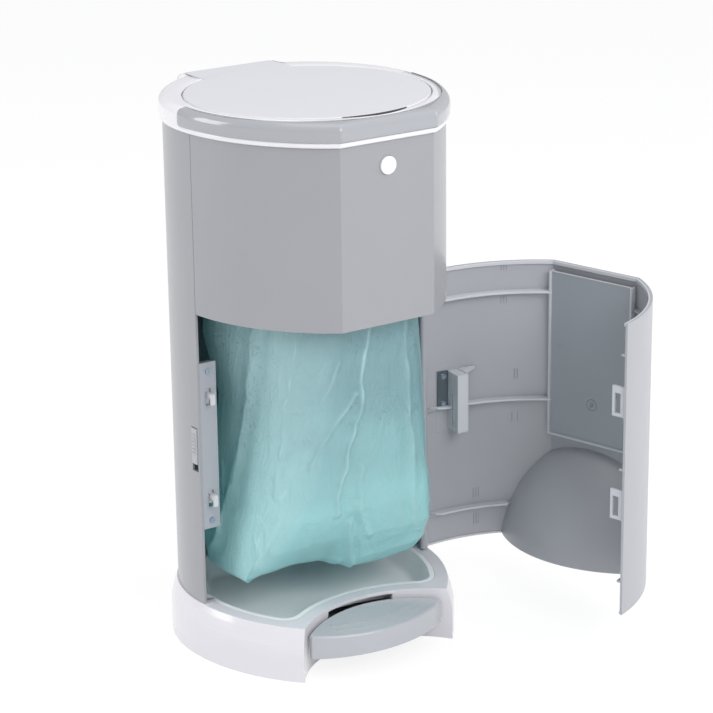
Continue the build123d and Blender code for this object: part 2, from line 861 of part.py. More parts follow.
with BuildPart() as rod_head:
    block((-head_half, head_half), (crank_y - 7, crank_y + 7), (rod_top - 5, rod_top))
    fillet(rod_head.edges().filter_by(Axis.Z), 3)
    rod(rod_radius + 2, (0, crank_y), (rod_top - 14, rod_top - 5))
    rod(rod_radius, (0, crank_y), (0, rod_top - 3), mode=Mode.SUBTRACT)
finish(rod_head.part, "rod_head")

# ---- Top: collar, bumper and chute ------------------------------------------------------------------------
ring_radius = lid_radius + rim_width
inner_radius = ring_radius - 4.0
stripe_height = 5.5
bumper_end = 8.0
top_edge_round = 9.0
notch_half = lid_radius * sin(radians(18.0))
pocket_half = tab_half_width + 0.4
pocket_floor = collar_bottom + 5.0
knuckle_half = lug_in - 0.5
flange_radius = mouth_radius + 13.0

with BuildPart() as top_blank:
    plan_prism(collar_bottom, collar_top, -1)
    fillet(top_blank.edges().group_by(Axis.Z)[-1], top_edge_round)

with BuildPart() as bumper_blank:
    plan_prism(collar_bottom + stripe_height + fit_gap, collar_top, -1.8)
    fillet(bumper_blank.edges().group_by(Axis.Z)[-1], top_edge_round)

with BuildPart() as top_bumper:
    add(bumper_blank.part)
    rod(ring_radius + fit_gap, (0, well_y), (0, reach * 2), mode=Mode.SUBTRACT)
    block((-reach, reach), (-bumper_end, reach), (0, reach * 2), mode=Mode.SUBTRACT)
finish(top_bumper.part, "top_bumper")

with BuildPart() as bumper_seat:
    block(
        (-reach, reach),
        (-reach, -bumper_end + fit_gap),
        (collar_bottom + stripe_height, collar_top + 1),
    )
    rod(ring_radius, (0, well_y), (0, reach * 2), mode=Mode.SUBTRACT)

with BuildPart() as collar_hollow:
    with BuildSketch(Plane.XY.offset(collar_bottom)):
        with Locations((0, well_y)):
            Circle(inner_radius)
    extrude(amount=chute_top - collar_bottom)

with BuildPart() as lid_notch:
    ring(lid_radius + 6, lid_radius - 8, (0, well_y), (collar_top - 7, collar_top + 1))
    block(
        (-notch_half, notch_half),
        (-reach, well_y),
        (0, reach * 2),
        mode=Mode.INTERSECT,
    )

with BuildPart() as notch_floor:
    ring(inner_radius + 1, flange_radius + 0.6, (0, well_y), (collar_top - 9.5, chute_top))
    block(
        (-notch_half - 2, notch_half + 2),
        (-reach, well_y),
        (0, reach * 2),
        mode=Mode.INTERSECT,
    )

with BuildPart() as top_collar:
    add(top_blank.part)
    add(bumper_seat.part, mode=Mode.SUBTRACT)
    add(collar_hollow.part, mode=Mode.SUBTRACT)
    rod(mouth_radius, (0, well_y), (0, reach * 2), mode=Mode.SUBTRACT)
    add(notch_floor.part)
    add(lid_notch.part, mode=Mode.SUBTRACT)
    # pocket of the lid's tab, open below for the crank and the rod
    block(
        (-pocket_half, pocket_half),
        (well_y + mouth_radius - 6, reach),
        (pocket_floor, reach * 2),
        mode=Mode.SUBTRACT,
    )
    block(
        (-guide_half, guide_half),
        (well_y + mouth_radius - 6, spine_depth - wall - 1),
        (0, reach * 2),
        mode=Mode.SUBTRACT,
    )
    rod(
        pin_radius,
        (lid_axis_y, lid_axis_z),
        (-tab_half_width - 4, tab_half_width + 4),
        side_plane,
        Mode.SUBTRACT,
    )
    # knuckle of the top's hinge
    rod(
        barrel_radius,
        (spine_depth + top_axis_out, shell_top),
        (-knuckle_half, knuckle_half),
        side_plane,
    )
    block(
        (-knuckle_half, knuckle_half),
        (spine_depth, spine_depth + top_axis_out),
        (collar_bottom, collar_bottom + 4.3),
    )
    rod(
        pin_radius + shaft_clearance,
        (spine_depth + top_axis_out, shell_top),
        (-reach, reach),
        side_plane,
        Mode.SUBTRACT,
    )
finish(top_collar.part, "top_collar")

with BuildPart() as top_hinge_pin:
    rod(pin_radius, (spine_depth + top_axis_out, shell_top), (-lug_out, lug_out), side_plane)
finish(top_hinge_pin.part, "top_hinge_pin")

with BuildPart() as lid_hinge_pin:
    rod(
        pin_radius,
        (lid_axis_y, lid_axis_z),
        (-tab_half_width - 4, tab_half_width + 4),
        side_plane,
    )
finish(lid_hinge_pin.part, "lid_hinge_pin")

with BuildPart() as chute:
    turned(
        (mouth_radius + 1, chute_top),
        (flange_radius, chute_top),
        (flange_radius, chute_top - 2.5),
        (mouth_radius + 1 + chute_wall, chute_top - 2.5),
        (throat_radius + chute_wall, chute_floor),
        (throat_radius + chute_wall, chute_floor - chute_wall),
        (0, chute_floor - chute_wall),
        (0, chute_floor),
        (throat_radius, chute_floor),
    )
    with BuildSketch(Plane.XY.offset(throat_bottom)):
        with Locations((0, well_y)):
            RectangleRounded(
                2 * (throat_half_x + chute_wall),
                2 * (throat_half_y + chute_wall),
                throat_round + chute_wall,
            )
    extrude(amount=chute_floor - throat_bottom)
    with BuildSketch(Plane.XY.offset(throat_bottom)):
        with Locations((0, well_y)):
            RectangleRounded(2 * throat_half_x, 2 * throat_half_y, throat_round)
    extrude(amount=chute_floor - throat_bottom, mode=Mode.SUBTRACT)
    for side in (-1, 1):
        rod(
            flap_pin_radius,
            (side * flap_pin_x, flap_axis_z),
            (-reach, reach),
            front_plane,
            Mode.SUBTRACT,
        )
finish(chute.part, "chute")

with BuildPart() as flap_pins:
    for side in (-1, 1):
        rod(
            flap_pin_radius,
            (side * flap_pin_x, flap_axis_z),
            (-well_y - throat_half_y - 2, -well_y + throat_half_y + 2),
            front_plane,
        )
finish(flap_pins.part, "flap_pins")

with BuildPart() as flap_springs:
    for side in (-1, 1):
        for end in (-1, 1):
            centre = (side * flap_pin_x, flap_axis_z)
            start = -well_y + end * (flap_knuckle + 4) - 3
            ring(flap_pin_radius + 0.8, flap_pin_radius, centre, (start, start + 6), front_plane)
            for turn in range(5):
                coil = start + 1.25 * turn
                ring(flap_pin_radius + 1.2, flap_pin_radius, centre, (coil, coil + 1), front_plane)
finish(flap_springs.part, "flap_springs")


def flap_form(side):
    """Trap door in the throat, hinged on the pin of the given side."""
    faces = (flap_axis_z - flap_thickness / 2, flap_axis_z + flap_thickness / 2)
    block(
        mirrored(side, 0.5, flap_pin_x - 6),
        (well_y - throat_half_y + 1, well_y + throat_half_y - 1),
        faces,
    )
    block(
        mirrored(side, flap_pin_x - 7, flap_pin_x),
        (well_y - flap_knuckle, well_y + flap_knuckle),
        faces,
    )
    centre = (side * flap_pin_x, flap_axis_z)
    rod(flap_barrel, centre, (-well_y - flap_knuckle, -well_y + flap_knuckle), front_plane)
    rod(flap_pin_radius + shaft_clearance, centre, (-reach, reach), front_plane, Mode.SUBTRACT)


with BuildPart() as flap_left:
    flap_form(-1)
finish(flap_left.part, "flap_left")

with BuildPart() as flap_right:
    flap_form(1)
finish(flap_right.part, "flap_right")

catch_top = collar_top - 9.5
catch_low = ledge_z - 9.7

with BuildPart() as top_catch:
    block((-10, 10), (catch_y, catch_y + 2.5), (catch_low, catch_top))
    block((-14, 14), (catch_y - 2, catch_y + 6), (catch_top - 1.5, catch_top))
    for side in (-1, 1):
        block(mirrored(side, 6, 10), (catch_y - 2.6, catch_y), (catch_low, catch_low + 5))
finish(top_catch.part, "top_catch")

# ---- Release button -----------------------------------------------------------------------------
button_back = face_depth - 11.0
cup_floor = face_depth - wall - cup_depth + cup_wall

with BuildPart() as button:
    rod(button_radius, (0, button_z), (button_back, face_depth + button_proud), front_plane)
    fillet(button.faces().sort_by(Axis.Y)[0].edges(), 1.2)
    rod(stem_radius, (0, button_z), (stem_end, button_back + 1), front_plane)
finish(button.part, "button")

with BuildPart() as button_spring:
    ring(7.6, 6.4, (0, button_z), (cup_floor, button_back), front_plane)
finish(button_spring.part, "button_spring")

# ---- Lid ------------------------------------------------------------------------------------------
seal_inner = mouth_radius - 5.0
crank_lap = 21.0  # crank's plate under the lid's disc

with BuildPart() as lid:
    rod(lid_radius, (0, well_y), (lid_bottom, overall_height))
    fillet(lid.faces().sort_by(Axis.Z)[-1].edges(), 2.2)
    ring(seal_inner, seal_inner - 3, (0, well_y), (lid_bottom - 12.5, lid_bottom))
finish(lid.part, "lid")

with BuildPart() as lid_seal:
    ring(mouth_radius - 0.8, seal_inner, (0, well_y), (lid_bottom - 6.5, lid_bottom))
finish(lid_seal.part, "lid_seal")

with BuildPart() as lid_tab:
    block(
        (-tab_half_width, tab_half_width),
        (well_y + mouth_radius - 20, spine_depth),
        (lid_bottom, overall_height - 0.5),
    )
    rod(lid_radius + 0.4, (0, well_y), (0, reach * 2), mode=Mode.SUBTRACT)
    back_corners = lid_tab.edges().filter_by(Axis.Z).group_by(Axis.Y)[-1]
    fillet(back_corners, 4)
finish(lid_tab.part, "lid_tab")

with BuildPart() as lid_crank:
    block(
        (4 - tab_half_width, tab_half_width - 4),
        (well_y + lid_radius - crank_lap, lid_axis_y + 1),
        (lid_axis_z + 3.3, lid_bottom),
    )
    for side in (-1, 1):
        barrel = mirrored(side, tab_half_width - 18, tab_half_width - 3)
        rod(barrel_radius, (lid_axis_y, lid_axis_z), barrel, side_plane)
        # arm beside the rod's head
        arm = mirrored(side, head_half + 1, head_half + 1 + crank_arm)
        with BuildSketch(side_plane.offset(arm[0])) as arm_side:
            with Locations(((lid_axis_y + crank_y) / 2, (lid_axis_z + crank_z) / 2)):
                SlotCenterToCenter(crank_length, 2 * roller_radius, rotation=lid_travel / 2)
        extrude(arm_side.sketch, amount=crank_arm)
    rod(roller_radius, (crank_y, crank_z), (-head_half - 1, head_half + 1), side_plane)
    rod(
        pin_radius + shaft_clearance,
        (lid_axis_y, lid_axis_z),
        (-reach, reach),
        side_plane,
        Mode.SUBTRACT,
    )
finish(lid_crank.part, "lid_crank")

# ---- Door -----------------------------------------------------------------------------------------
door_edge = -seam_y + seam_gap
dome_centre = door_plane.from_local_coords((0, recess_y, dome_z))
pocket_half_width = flat_half(wall) - 2 * fit_gap
eye_outer = 4.8 - body_radius
eye_inner = 22.0 - body_radius
eye_y = (seam_y - 6.2, seam_y - 3.2)
eye_low = 16.0  # below the hook's middle
eye_high = 20.5
cutter_seat = 1.2
cutter_turn = radians(cutter_angle)
cutter_along = radians(90 - cutter_angle + door_open_angle)
cutter_plane = Plane(
    origin=door_plane.from_local_coords(
        (
            body_radius - bow_radius + (bow_radius - wall) * cos(cutter_turn),
            -(bow_radius - wall) * sin(cutter_turn),
            0,
        )
    ),
    x_dir=(cos(cutter_along), sin(cutter_along), 0),
    z_dir=(0, 0, 1),
)
cutter_across = Plane(
    origin=cutter_plane.origin,
    x_dir=cutter_plane.x_dir,
    z_dir=cutter_plane.y_dir,
)  # bars along the cutter's depth: centres are (x, -z)
cutter_x = (3.0 - cutter_width, 3.0)
cutter_plate_x = (3.0, 18.0)
cutter_plate_z = (cutter_low + 28, cutter_high + 1)
cutter_screw_x = 10.0
cutter_screw_z = (cutter_plate_z[0] + 7, cutter_plate_z[1] - 7)

with BuildPart() as door_dome:
    plan_prism(door_bottom, door_top, 0, door_plane)
    with Locations(dome_centre):
        Sphere(dome_radius, mode=Mode.INTERSECT)

with BuildPart() as door_ribs:
    for height in rib_heights:
        plan_wall(height, height + rib_thickness, wall - 1, rib_depth + 1, door_plane)
    block(
        (-pocket_half_width - 1, pocket_half_width + 1),
        (-reach, 0),
        (0, reach),
        door_plane,
        Mode.SUBTRACT,
    )
    block(
        (cutter_x[0] - 2, cutter_plate_x[1] + 2),
        (0, cutter_depth),
        (cutter_low, cutter_high),
        cutter_plane,
        Mode.SUBTRACT,
    )

with BuildPart() as door_shell:
    plan_wall(door_bottom, door_top, 0, wall, door_plane)
    add(door_ribs.part)
    for height in hook_heights:
        block(
            (eye_outer - 2.5, eye_outer),
            (-door_edge - 10, 0),
            (height - eye_low, height + eye_high),
            door_plane,
        )
    block((-reach, 0), (-door_edge, reach), (0, reach * 2), door_plane, Mode.SUBTRACT)
    block((0, reach), (hinge_y, reach), (0, reach * 2), door_plane, Mode.SUBTRACT)
    rod(hinge_bead, (hinge_x, hinge_y), (door_bottom, door_top), door_plane)
    # seat of the cutter
    block(
        (cutter_x[0] - 1, cutter_plate_x[1] + 1),
        (-1, cutter_seat),
        (cutter_low - 2, cutter_high + 2),
        cutter_plane,
    )
    add(door_dome.part)
    with Locations(dome_centre):
        Sphere(dome_radius - wall, mode=Mode.SUBTRACT)
    for bore in ((0, door_bottom + 12), (door_top - 11, reach * 2)):
        rod(
            pin_radius + shaft_clearance,
            (hinge_x, hinge_y),
            bore,
            door_plane,
            Mode.SUBTRACT,
        )
    for height in cutter_screw_z:
        rod(1.6, (cutter_screw_x, -height), (-1.5, cutter_seat), cutter_across, Mode.SUBTRACT)
finish(door_shell.part, "door_shell")

with BuildPart() as door_hinge_pins:
    rod(
        pin_radius,
        (hinge_x, hinge_y),
        (deck_height - deck_thickness, door_bottom + 11),
    )
    rod(pin_radius, (hinge_x, hinge_y), (door_top - 10, panel_bottom + 9))
finish(door_hinge_pins.part, "door_hinge_pins")

pocket_back = -face_depth + wall

with BuildPart() as door_pocket:
    block(
        (-pocket_half_width, pocket_half_width),
        (pocket_back, pocket_back + pocket_depth),
        (pocket_low, pocket_high),
        door_plane,
    )
    block(
        (-pocket_half_width - 1.2, pocket_half_width + 1.2),
        (pocket_back + 2, pocket_back + pocket_depth + 1.2),
        (pocket_high - 4, pocket_high),
        door_plane,
    )
    block(
        (pocket_wall - pocket_half_width, pocket_half_width - pocket_wall),
        (-reach, pocket_back + pocket_depth - pocket_wall),
        (pocket_low + pocket_wall, reach),
        door_plane,
        Mode.SUBTRACT,
    )
finish(door_pocket.part, "door_pocket")


def catch_eye(height):
    """Frame on the door that the hook at the given height passes through."""
    block(
        (eye_outer, eye_inner),
        eye_y,
        (height - eye_low, height + eye_high),
        door_plane,
    )
    block(
        (hook_x[0] - 1.5, hook_x[1] + 1.5),
        (-reach, 0),
        (height - 12, height + 12),
        door_plane,
        Mode.SUBTRACT,
    )


with BuildPart() as lower_catch_eye:
    catch_eye(hook_heights[0])
finish(lower_catch_eye.part, "lower_catch_eye")

with BuildPart() as upper_catch_eye:
    catch_eye(hook_heights[1])
finish(upper_catch_eye.part, "upper_catch_eye")

slot_y = (cutter_depth / 2 - cutter_slot / 2, cutter_depth / 2 + cutter_slot / 2)
slot_top = cutter_low + 48.0
blade_x = (-4.8, -4.2)
blade_y = (slot_y[0] - 4, slot_y[1] + 4)
blade_z = (slot_top - 18, slot_top)

with BuildPart() as cutter_housing:
    block(cutter_x, (cutter_seat, cutter_depth), (cutter_low, cutter_high), cutter_plane)
    low_edge = cutter_housing.faces().sort_by(Axis.Z)[0].edges()
    fillet(low_edge, 4)
    # gusset on top
    with BuildSketch(cutter_plane.offset(cutter_high - 2)):
        with BuildLine():
            Polyline(
                (cutter_x[0] + 1, cutter_seat),
                (cutter_x[0] - 22, cutter_seat + 2.2),
                (cutter_x[0] - 22, cutter_seat + 4.5),
                (cutter_x[0] + 1, cutter_depth - 5),
                close=True,
            )
        make_face()
    extrude(amount=3)
    block(cutter_x, slot_y, (0, slot_top), cutter_plane, Mode.SUBTRACT)
    block(blade_x, blade_y, blade_z, cutter_plane, Mode.SUBTRACT)
finish(cutter_housing.part, "cutter_housing")

with BuildPart() as cutter_blade:
    block(blade_x, blade_y, blade_z, cutter_plane)
finish(cutter_blade.part, "cutter_blade")

with BuildPart() as cutter_plate:
    block(cutter_plate_x, (cutter_seat, cutter_seat + 2), cutter_plate_z, cutter_plane)
    for height in cutter_screw_z:
        rod(1.6, (cutter_screw_x, -height), (0, reach), cutter_across, Mode.SUBTRACT)
finish(cutter_plate.part, "cutter_plate")

with BuildPart() as cutter_screws:
    for height in cutter_screw_z:
        spot = (cutter_screw_x, -height)
        rod(3.4, spot, (cutter_seat + 2, cutter_seat + 3.6), cutter_across)
        rod(1.6, spot, (-1.5, cutter_seat + 2), cutter_across)
        rod(0.9, spot, (cutter_seat + 2.8, reach), cutter_across, Mode.SUBTRACT)
finish(cutter_screws.part, "cutter_screws")
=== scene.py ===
"""Looks of the litter disposal pail: camera, light, materials, liner film and moulded details."""

import math

import bmesh
import bpy
from mathutils import Matrix, Vector, noise


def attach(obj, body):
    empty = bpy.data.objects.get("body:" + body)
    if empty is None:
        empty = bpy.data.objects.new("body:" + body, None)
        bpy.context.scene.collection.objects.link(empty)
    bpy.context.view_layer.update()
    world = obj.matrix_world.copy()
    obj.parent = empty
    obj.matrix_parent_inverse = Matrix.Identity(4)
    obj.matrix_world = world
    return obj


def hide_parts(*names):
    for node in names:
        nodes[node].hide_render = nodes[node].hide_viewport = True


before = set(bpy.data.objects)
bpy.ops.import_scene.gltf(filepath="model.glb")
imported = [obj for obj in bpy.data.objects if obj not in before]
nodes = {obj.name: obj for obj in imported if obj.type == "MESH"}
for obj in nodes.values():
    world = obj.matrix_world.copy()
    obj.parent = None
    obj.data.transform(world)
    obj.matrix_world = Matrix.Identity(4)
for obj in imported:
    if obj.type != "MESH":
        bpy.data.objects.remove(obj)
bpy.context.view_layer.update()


def rgb(r, g, b):
    """Linear colour from 0-255 display values."""
    shown = [v / 255 for v in (r, g, b)]
    linear = [v / 12.92 if v <= 0.04045 else ((v + 0.055) / 1.055) ** 2.4 for v in shown]
    return (*linear, 1.0)


def clamp(value):
    """Value held between 0 and 1."""
    return max(0.0, min(1.0, value))


# ---- Camera, as fitted to the photograph --------------------------------------------------------
azimuth, elevation, roll = (math.radians(v) for v in (-34.06, 18.14, -0.71))
picture_width, focal_length = 713, 2594.04  # pixels
sensor_width = 36
distance, target_aside, target_height = 3.07218, 0.06166, 0.33596  # metres

flat = math.cos(elevation)
back = Vector((math.sin(azimuth) * flat, -math.cos(azimuth) * flat, math.sin(elevation)))
right = Vector((math.cos(azimuth), math.sin(azimuth), 0))
up = back.cross(right)
target = right * target_aside + Vector((0, 0, target_height))
camera_x = right * math.cos(roll) + up * math.sin(roll)
camera_y = up * math.cos(roll) - right * math.sin(roll)
turned = Matrix((camera_x, camera_y, back)).transposed().to_4x4()
camera_data = bpy.data.cameras.new("camera")
camera_data.sensor_width = sensor_width
camera_data.lens = sensor_width * focal_length / picture_width
camera_data.clip_end = 50
camera = bpy.data.objects.new("camera", camera_data)
camera.matrix_world = Matrix.Translation(target + back * distance) @ turned
bpy.context.scene.collection.objects.link(camera)
bpy.context.scene.camera = camera


# ---- Shader helpers -----------------------------------------------------------------------------
def shader(name):
    """New material: the material, its node tree and its Principled node."""
    material = bpy.data.materials.new(name)
    material.use_nodes = True
    tree = material.node_tree
    return material, tree, tree.nodes["Principled BSDF"]


def add_node(tree, kind, **values):
    """Node with some of its sockets set."""
    node = tree.nodes.new(kind)
    for key, value in values.items():
        node.inputs[key.replace("_", " ")].default_value = value
    return node


def place_output(tree):
    """The piece's own coordinates."""
    return tree.nodes.new("ShaderNodeTexCoord").outputs["Object"]


def noise_node(tree, where, scale, detail, distortion=0.0):
    """Noise texture at the given coordinates."""
    node = add_node(
        tree, "ShaderNodeTexNoise", Scale=float(scale), Detail=detail, Distortion=distortion
    )
    tree.links.new(where, node.inputs["Vector"])
    return node.outputs["Fac"]


def remap(tree, source, low, high, from_low=0.0, from_high=1.0, smooth=False):
    """Range of a value moved to another range."""
    node = add_node(
        tree, "ShaderNodeMapRange", From_Min=from_low, From_Max=from_high, To_Min=low, To_Max=high
    )
    if smooth:
        node.interpolation_type = "SMOOTHSTEP"
    tree.links.new(source, node.inputs["Value"])
    return node.outputs["Result"]


def math_node(tree, operation, *terms):
    """Maths on numbers and on other nodes' outputs."""
    node = tree.nodes.new("ShaderNodeMath")
    node.operation = operation
    for place, term in enumerate(terms):
        if isinstance(term, float):
            node.inputs[place].default_value = term
        else:
            tree.links.new(term, node.inputs[place])
    return node.outputs[0]


def mix_colour(tree, factor, first, second):
    """Colour that goes from an output to a fixed colour."""
    node = tree.nodes.new("ShaderNodeMix")
    node.data_type = "RGBA"
    node.inputs["B"].default_value = second
    tree.links.new(factor, node.inputs["Factor"])
    tree.links.new(first, node.inputs["A"])
    return node.outputs["Result"]


def tint(tree, surface, colour, source, low, high):
    """Base colour that wanders in brightness."""
    node = tree.nodes.new("ShaderNodeVectorMath")
    node.operation = "SCALE"
    node.inputs[0].default_value = colour[:3]
    tree.links.new(remap(tree, source, low, high), node.inputs["Scale"])
    tree.links.new(node.outputs["Vector"], surface.inputs["Base Color"])


def bump(tree, surface, source, strength, depth, under=None):
    """Fine relief, on top of another normal if there is one."""
    node = add_node(tree, "ShaderNodeBump", Strength=strength, Distance=depth)
    tree.links.new(source, node.inputs["Height"])
    if under:
        tree.links.new(under, node.inputs["Normal"])
    tree.links.new(node.outputs["Normal"], surface.inputs["Normal"])


# ---- Materials ----------------------------------------------------------------------------------
edge_radius, edge_samples = 0.0006, 6
flow_scale, speck_scale, metal_scale = 14, 60, 320
grain_depth, metal_depth = 0.0004, 0.0003
coat_roughness = 0.08


def moulded(name, colour, rough, grain=0.04, scale=900, coat=0.0, drift=0.03):
    """Moulded plastic: faint flow marks in colour and gloss, fine grain, softened edges."""
    material, tree, surface = shader(name)
    where = place_output(tree)
    tint(tree, surface, colour, noise_node(tree, where, flow_scale, 3.0), 1 - drift, 1 + drift)
    gloss = remap(tree, noise_node(tree, where, speck_scale, 4.0), rough * 0.9, rough * 1.12)
    tree.links.new(gloss, surface.inputs["Roughness"])
    soft = add_node(tree, "ShaderNodeBevel", Radius=edge_radius)
    soft.samples = edge_samples
    fine = noise_node(tree, where, scale, 2.0)
    bump(tree, surface, fine, grain, grain_depth, soft.outputs["Normal"])
    surface.inputs["Coat Weight"].default_value = coat
    surface.inputs["Coat Roughness"].default_value = coat_roughness
    return material


def metal(name, colour, rough):
    """Plated or drawn steel with a fine uneven finish."""
    material, tree, surface = shader(name)
    cloud = noise_node(tree, place_output(tree), metal_scale, 4.0)
    tint(tree, surface, colour, cloud, 0.86, 1.1)
    tree.links.new(remap(tree, cloud, rough * 0.7, rough * 1.3), surface.inputs["Roughness"])
    bump(tree, surface, cloud, 0.08, metal_depth)
    surface.inputs["Metallic"].default_value = 1.0
    return material


body_grey = moulded("body_grey", rgb(158, 159, 163), 0.3, grain=0.02, scale=700, coat=0.15)
door_grey = moulded("door_grey", rgb(171, 173, 178), 0.34, grain=0.02, scale=700, coat=0.08)
pocket_grey = moulded("pocket_grey", rgb(160, 165, 171), 0.45, grain=0.06)
# lighter copy of the door grey: painted highlight on the door's edges, lips and ribs
edge_highlight_grey = moulded("edge_highlight_grey", rgb(204, 206, 211), 0.4, grain=0.03)
base_white = moulded("base_white", rgb(226, 224, 229), 0.2, grain=0.01, coat=0.3, drift=0.008)
collar_white = moulded("collar_white", rgb(236, 235, 238), 0.22, grain=0.01, coat=0.3, drift=0.008)
tray_white = moulded("tray_white", rgb(246, 246, 248), 0.24, grain=0.015, coat=0.2, drift=0.01)
lid_grey = moulded(
    "lid_grey", rgb(220, 221, 225), 0.34, grain=0.04, scale=1400, drift=0.01, coat=0.1
)
tab_grey = moulded("tab_grey", rgb(218, 219, 223), 0.36, grain=0.05, scale=1400, drift=0.01)
bumper_grey = moulded("bumper_grey", rgb(168, 170, 175), 0.16, grain=0.008, coat=0.5, drift=0.01)
pedal_grey = moulded("pedal_grey", rgb(184, 187, 192), 0.17, grain=0.012, coat=0.4, drift=0.015)
button_white = moulded("button_white", rgb(238, 237, 241), 0.26, grain=0.02, drift=0.01)
inner_grey = moulded("inner_grey", rgb(176, 180, 186), 0.5, grain=0.08)
plate_grey = moulded("plate_grey", rgb(168, 170, 177), 0.4, grain=0.05)
slider_grey = moulded("slider_grey", rgb(178, 179, 184), 0.36, grain=0.03)
cassette_grey = moulded("cassette_grey", rgb(170, 178, 180), 0.4, grain=0.05)
film_stack = moulded("film_stack", rgb(150, 205, 205), 0.35, grain=0.4, scale=260, drift=0.12)
hook_grey = moulded("hook_grey", rgb(206, 207, 211), 0.35, grain=0.05)
eye_grey = moulded("eye_grey", rgb(196, 198, 204), 0.35, grain=0.04)
cutter_grey = moulded("cutter_grey", rgb(204, 206, 211), 0.28, grain=0.02, coat=0.2)
# dark grey of the lid seal, and the painted shade of the lid's finger slit
seal_and_slit_shade_black = moulded("seal_and_slit_shade_black", rgb(66, 68, 70), 0.6, grain=0.15, drift=0.06)
zinc = metal("zinc", rgb(180, 190, 204), 0.32)
zinc_plate = metal("zinc_plate", rgb(128, 138, 144), 0.4)
steel = metal("steel", rgb(190, 192, 196), 0.22)

looks = {
    body_grey: ("back_shell", "front_panel"),
    door_grey: ("door_shell",),
    pocket_grey: ("door_pocket",),
    base_white: ("base_housing",),
    collar_white: ("top_collar",),
    tray_white: ("floor_tray",),
    lid_grey: ("lid",),
    tab_grey: ("lid_tab",),
    bumper_grey: ("top_bumper",),
    pedal_grey: ("pedal",),
    button_white: ("button",),
    inner_grey: (
        "base_plate",
        "rod_guide",
        "cassette_shelf",
        "chute",
        "flap_left",
        "flap_right",
        "top_catch",
        "lid_crank",
        "rod_head",
    ),
    plate_grey: ("latch_plate",),
    slider_grey: ("release_slider",),
    cassette_grey: ("liner_cassette",),
    film_stack: ("film_pack",),
    hook_grey: ("latch_bar",),
    eye_grey: ("upper_catch_eye", "lower_catch_eye"),
    cutter_grey: ("cutter_housing",),
    seal_and_slit_shade_black: ("lid_seal",),
    zinc: ("base_screws", "latch_screws", "cutter_screws", "pedal_lever"),
    zinc_plate: ("cutter_plate",),
    steel: (
        "pedal_pin",
        "lift_rod",
        "top_hinge_pin",
        "lid_hinge_pin",
        "door_hinge_pins",
        "flap_pins",
        "flap_springs",
        "button_spring",
        "cutter_blade",
    ),
}
for material, names in looks.items():
    for name in names:
        if name in nodes:
            nodes[name].data.materials.clear()
            nodes[name].data.materials.append(material)


# ---- Mesh helpers -------------------------------------------------------------------------------
def mesh_object(name, vertices, faces, material, smooth=True):
    """Mesh piece from vertices and faces."""
    mesh = bpy.data.meshes.new(name)
    mesh.from_pydata(vertices, [], faces)
    mesh.validate()
    mesh.materials.append(material)
    for face in mesh.polygons:
        face.use_smooth = smooth
    piece = bpy.data.objects.new(name, mesh)
    bpy.context.scene.collection.objects.link(piece)
    return piece


merge_distance = 0.00001


def tidy_mesh(piece, soften=0.0):
    """Merge doubled points and drop empty faces, or soften the edges; turn the faces outwards."""
    work = bmesh.new()
    work.from_mesh(piece.data)
    if soften:
        bmesh.ops.bevel(work, geom=work.edges[:], offset=soften, segments=2, affect="EDGES")
    else:
        bmesh.ops.remove_doubles(work, verts=work.verts, dist=merge_distance)
        bmesh.ops.dissolve_degenerate(work, edges=work.edges, dist=merge_distance)
    bmesh.ops.recalc_face_normals(work, faces=work.faces)
    work.to_mesh(piece.data)
    work.free()


def add_bar(sections, vertices, faces):
    """Closed bar through cross-sections that have the same number of points, with flat ends."""
    start, count = len(vertices), len(sections[0])
    end = start + (len(sections) - 1) * count
    for section in sections:
        vertices.extend(section)
    for first in range(start, end, count):
        for k in range(count):
            a, b = first + k, first + (k + 1) % count
            faces.append((a, b, b + count, a + count))
    faces.append(tuple(start + k for k in reversed(range(count))))
    faces.append(tuple(end + k for k in range(count)))


# corners of a box: four below, then four above, anticlockwise from above
box_faces = (
    (3, 2, 1, 0), (4, 5, 6, 7), (0, 1, 5, 4), (1, 2, 6, 5), (2, 3, 7, 6), (3, 0, 4, 7),
)


def add_box(corners, vertices, faces):
    """Box through eight corners."""
    start = len(vertices)
    vertices.extend(corners)
    faces.extend(tuple(start + k for k in face) for face in box_faces)


# ---- Liner film ---------------------------------------------------------------------------------
see_through = 0.36


